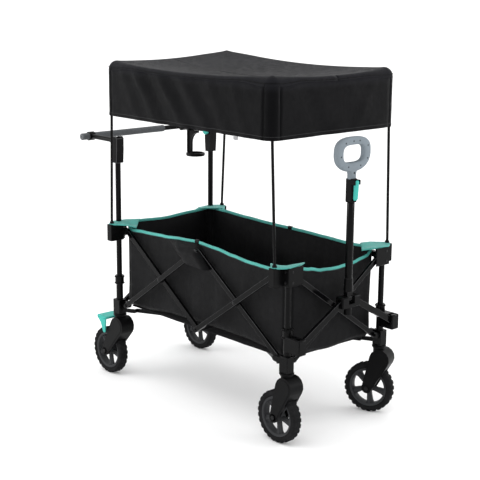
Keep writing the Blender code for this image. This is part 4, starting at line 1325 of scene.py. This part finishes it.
def cup_holder():
    """Clip, strap, brace and ring of the cup holder."""
    y, z_arm, z, strap_x = HALF_Y, PUSH_Z, CUP_Z, STRAP_X
    bm = bmesh.new()
    turns = [2 * math.pi * i / 56 for i in range(56)]
    ring = [w(CUP_X + CUP_RADIUS * math.cos(a), y + CUP_RADIUS * math.sin(a), z) for a in turns]
    sweep(bm, ring, oval(0.0042, 0.0058, 14, 3.0), closed=True)
    path = [w(strap_x, y, z - 0.001), w(strap_x, y, z + 0.04), w(strap_x, y, z_arm - 0.012)]
    sweep(bm, path, oval(0.0100, 0.0036, 16, 5.0), up=(1, 0, 0))
    # The brace between strap and arm is hollowed by a quarter round.
    brace = [(strap_x - 0.0095, z + 0.004), (strap_x - 0.0095, z_arm - 0.0095)]
    brace += [(strap_x + 0.0480, z_arm - 0.0095), (strap_x + 0.0480, z_arm - 0.0170)]
    for i in range(1, 9):
        turn = math.radians(90 + 90 * i / 9)
        brace.append((strap_x + 0.0480 + 0.0370 * math.cos(turn), z_arm - 0.0600 + 0.0430 * math.sin(turn)))
    brace.append((strap_x + 0.0110, z + 0.004))
    flat_plate(bm, brace, y - 0.0060, y + 0.0060)
    matrix = axes_matrix(w(strap_x, y, z_arm), (0, 1, 0), (1, 0, 0))
    lathe(bm, CLIP, 40, matrix, closed=True)
    dome(bm, w(strap_x, y + 0.0100, z + 0.020), (0, 1, 0), 0.0028, 0.0010)
    build("cup_holder_moulding", bm, 45, "plastic", "push_left", ["cup_holder"])


# The start of a CAD node's name, and the material and edge width of the piece that replaces it.
TWINS = [
    ("lower_post_", "steel", 0.0020),
    ("upper_post_front_", "steel", 0.0008),
    ("upper_post_rear_", "steel", 0.0034),
    ("top_bracket_", "plastic", 0.0030),
    ("side_bar_", "bar", 0.0014),
    ("end_bar_", "bar", 0.0014),
    ("floor_arm_", "bar", 0.0014),
    ("fork_", "fork", 0.0018),
    ("brake_pedal_", "teal", 0.0014),
    ("yoke_arm_", "bar", 0.0017),
    ("yoke_hub", "plastic", 0.0012),
    ("pull_outer_tube", "steel", 0.0008),
    ("pull_inner_tube", "plastic", 0.0012),
    ("push_arm_", "plastic", 0.0012),
    ("push_button", "teal", 0.0014),
]


def finish_hard_parts():
    for name in sorted(NODES):
        for start, material, width in TWINS:
            if name.startswith(start):
                twin(name, material, width)


def cover_cad_materials():
    """The replaced CAD nodes stay hidden, but carry their real finish too."""
    slots = {"canopy": "canopy", "basket": "basket", "tyre": "rubber", "rim": "rim", "pull_trigger": "teal"}
    for name, cad in NODES.items():
        for start, material, _ in TWINS:
            if name.startswith(start):
                slots[name] = material
        key = name if name in slots else name.split("_")[0]
        material = MATERIALS[slots.get(key, "plastic")]
        cad.data.materials.clear()
        cad.data.materials.append(material)


# Studio.


def camera():
    azimuth, elevation, roll = (math.radians(a) for a in (CAMERA_AZIMUTH, CAMERA_ELEVATION, CAMERA_ROLL))
    flat = math.cos(elevation)
    forward = Vector((-math.sin(azimuth) * flat, math.cos(azimuth) * flat, -math.sin(elevation)))
    level = forward.cross(Vector((0, 0, 1))).normalized()
    rise = level.cross(forward)
    right = level * math.cos(roll) + rise * math.sin(roll)
    up = rise * math.cos(roll) - level * math.sin(roll)
    data = bpy.data.cameras.new("camera")
    data.sensor_width = SENSOR
    data.lens = FOCAL_LENGTH
    data.clip_end = 200.0
    made = new_object("camera", data)
    made.matrix_world = Matrix((right, up, -forward)).transposed().to_4x4()
    made.location = w(*CAMERA_AT)
    bpy.context.scene.camera = made


def sun(name, direction, strength, angle):
    """A wide, soft light from far away, so that the floor is evenly lit."""
    data = bpy.data.lights.new(name, "SUN")
    data.energy = strength
    data.angle = math.radians(angle)
    light = new_object(name, data)
    light.rotation_euler = (-Vector(direction)).to_track_quat("-Z", "Y").to_euler()


def strip(name, location, power):
    """A long, low softbox, which draws the highlights along the edges of the bars."""
    data = bpy.data.lights.new(name, "AREA")
    data.shape = "RECTANGLE"
    data.size = 3.2
    data.size_y = 0.11
    data.energy = power
    light = new_object(name, data)
    light.location = location
    light.rotation_euler = (Vector((0, 0, 0.6)) - Vector(location)).to_track_quat("-Z", "Y").to_euler()


FILL = 1.12  # strength of the white surroundings
FLOOR_HALF = 60.0


def studio():
    floor_mesh = bpy.data.meshes.new("floor")
    corners = [(x * FLOOR_HALF, y * FLOOR_HALF, 0) for x, y in ((-1, -1), (1, -1), (1, 1), (-1, 1))]
    floor_mesh.from_pydata(corners, [], [(0, 1, 2, 3)])
    floor = new_object("studio_floor", floor_mesh)
    paper = new_material("studio_paper", (0.95, 0.95, 0.95), 0.9)
    bump(paper, noise_height(paper, 40, 2.0), 0.0002, 0.2)
    floor_mesh.materials.append(paper)
    world = bpy.data.worlds.new("studio_light")
    bpy.context.scene.world = world
    world.use_nodes = True
    fill = world.node_tree.nodes["Background"]
    fill.inputs["Color"].default_value = (1.0, 1.0, 1.0, 1.0)
    fill.inputs["Strength"].default_value = FILL
    sun("overhead", (0.10, -0.15, 1.0), 0.75, 55)
    sun("key", (-0.55, -0.80, 0.60), 0.12, 20)
    strip("left_strip", (-2.1, -2.2, 1.15), 34)
    strip("right_strip", (2.2, 2.2, 1.15), 26)
    bpy.context.scene.view_settings.view_transform = "Standard"


finish_hard_parts()
for wheel_end, wheel_side in CORNERS:
    wheel(wheel_end, wheel_side)
    fork_faces(wheel_end, wheel_side)
    caster_hardware(wheel_end, wheel_side)
for brake_side in SIDES:
    brake_cheeks(brake_side)
rivets()
post_details()
poles()
pull_grip()
pull_tube_cover()
pull_trigger()
push_bar_sleeve()
cup_holder()
canopy()
basket()
cover_cad_materials()
camera()
studio()
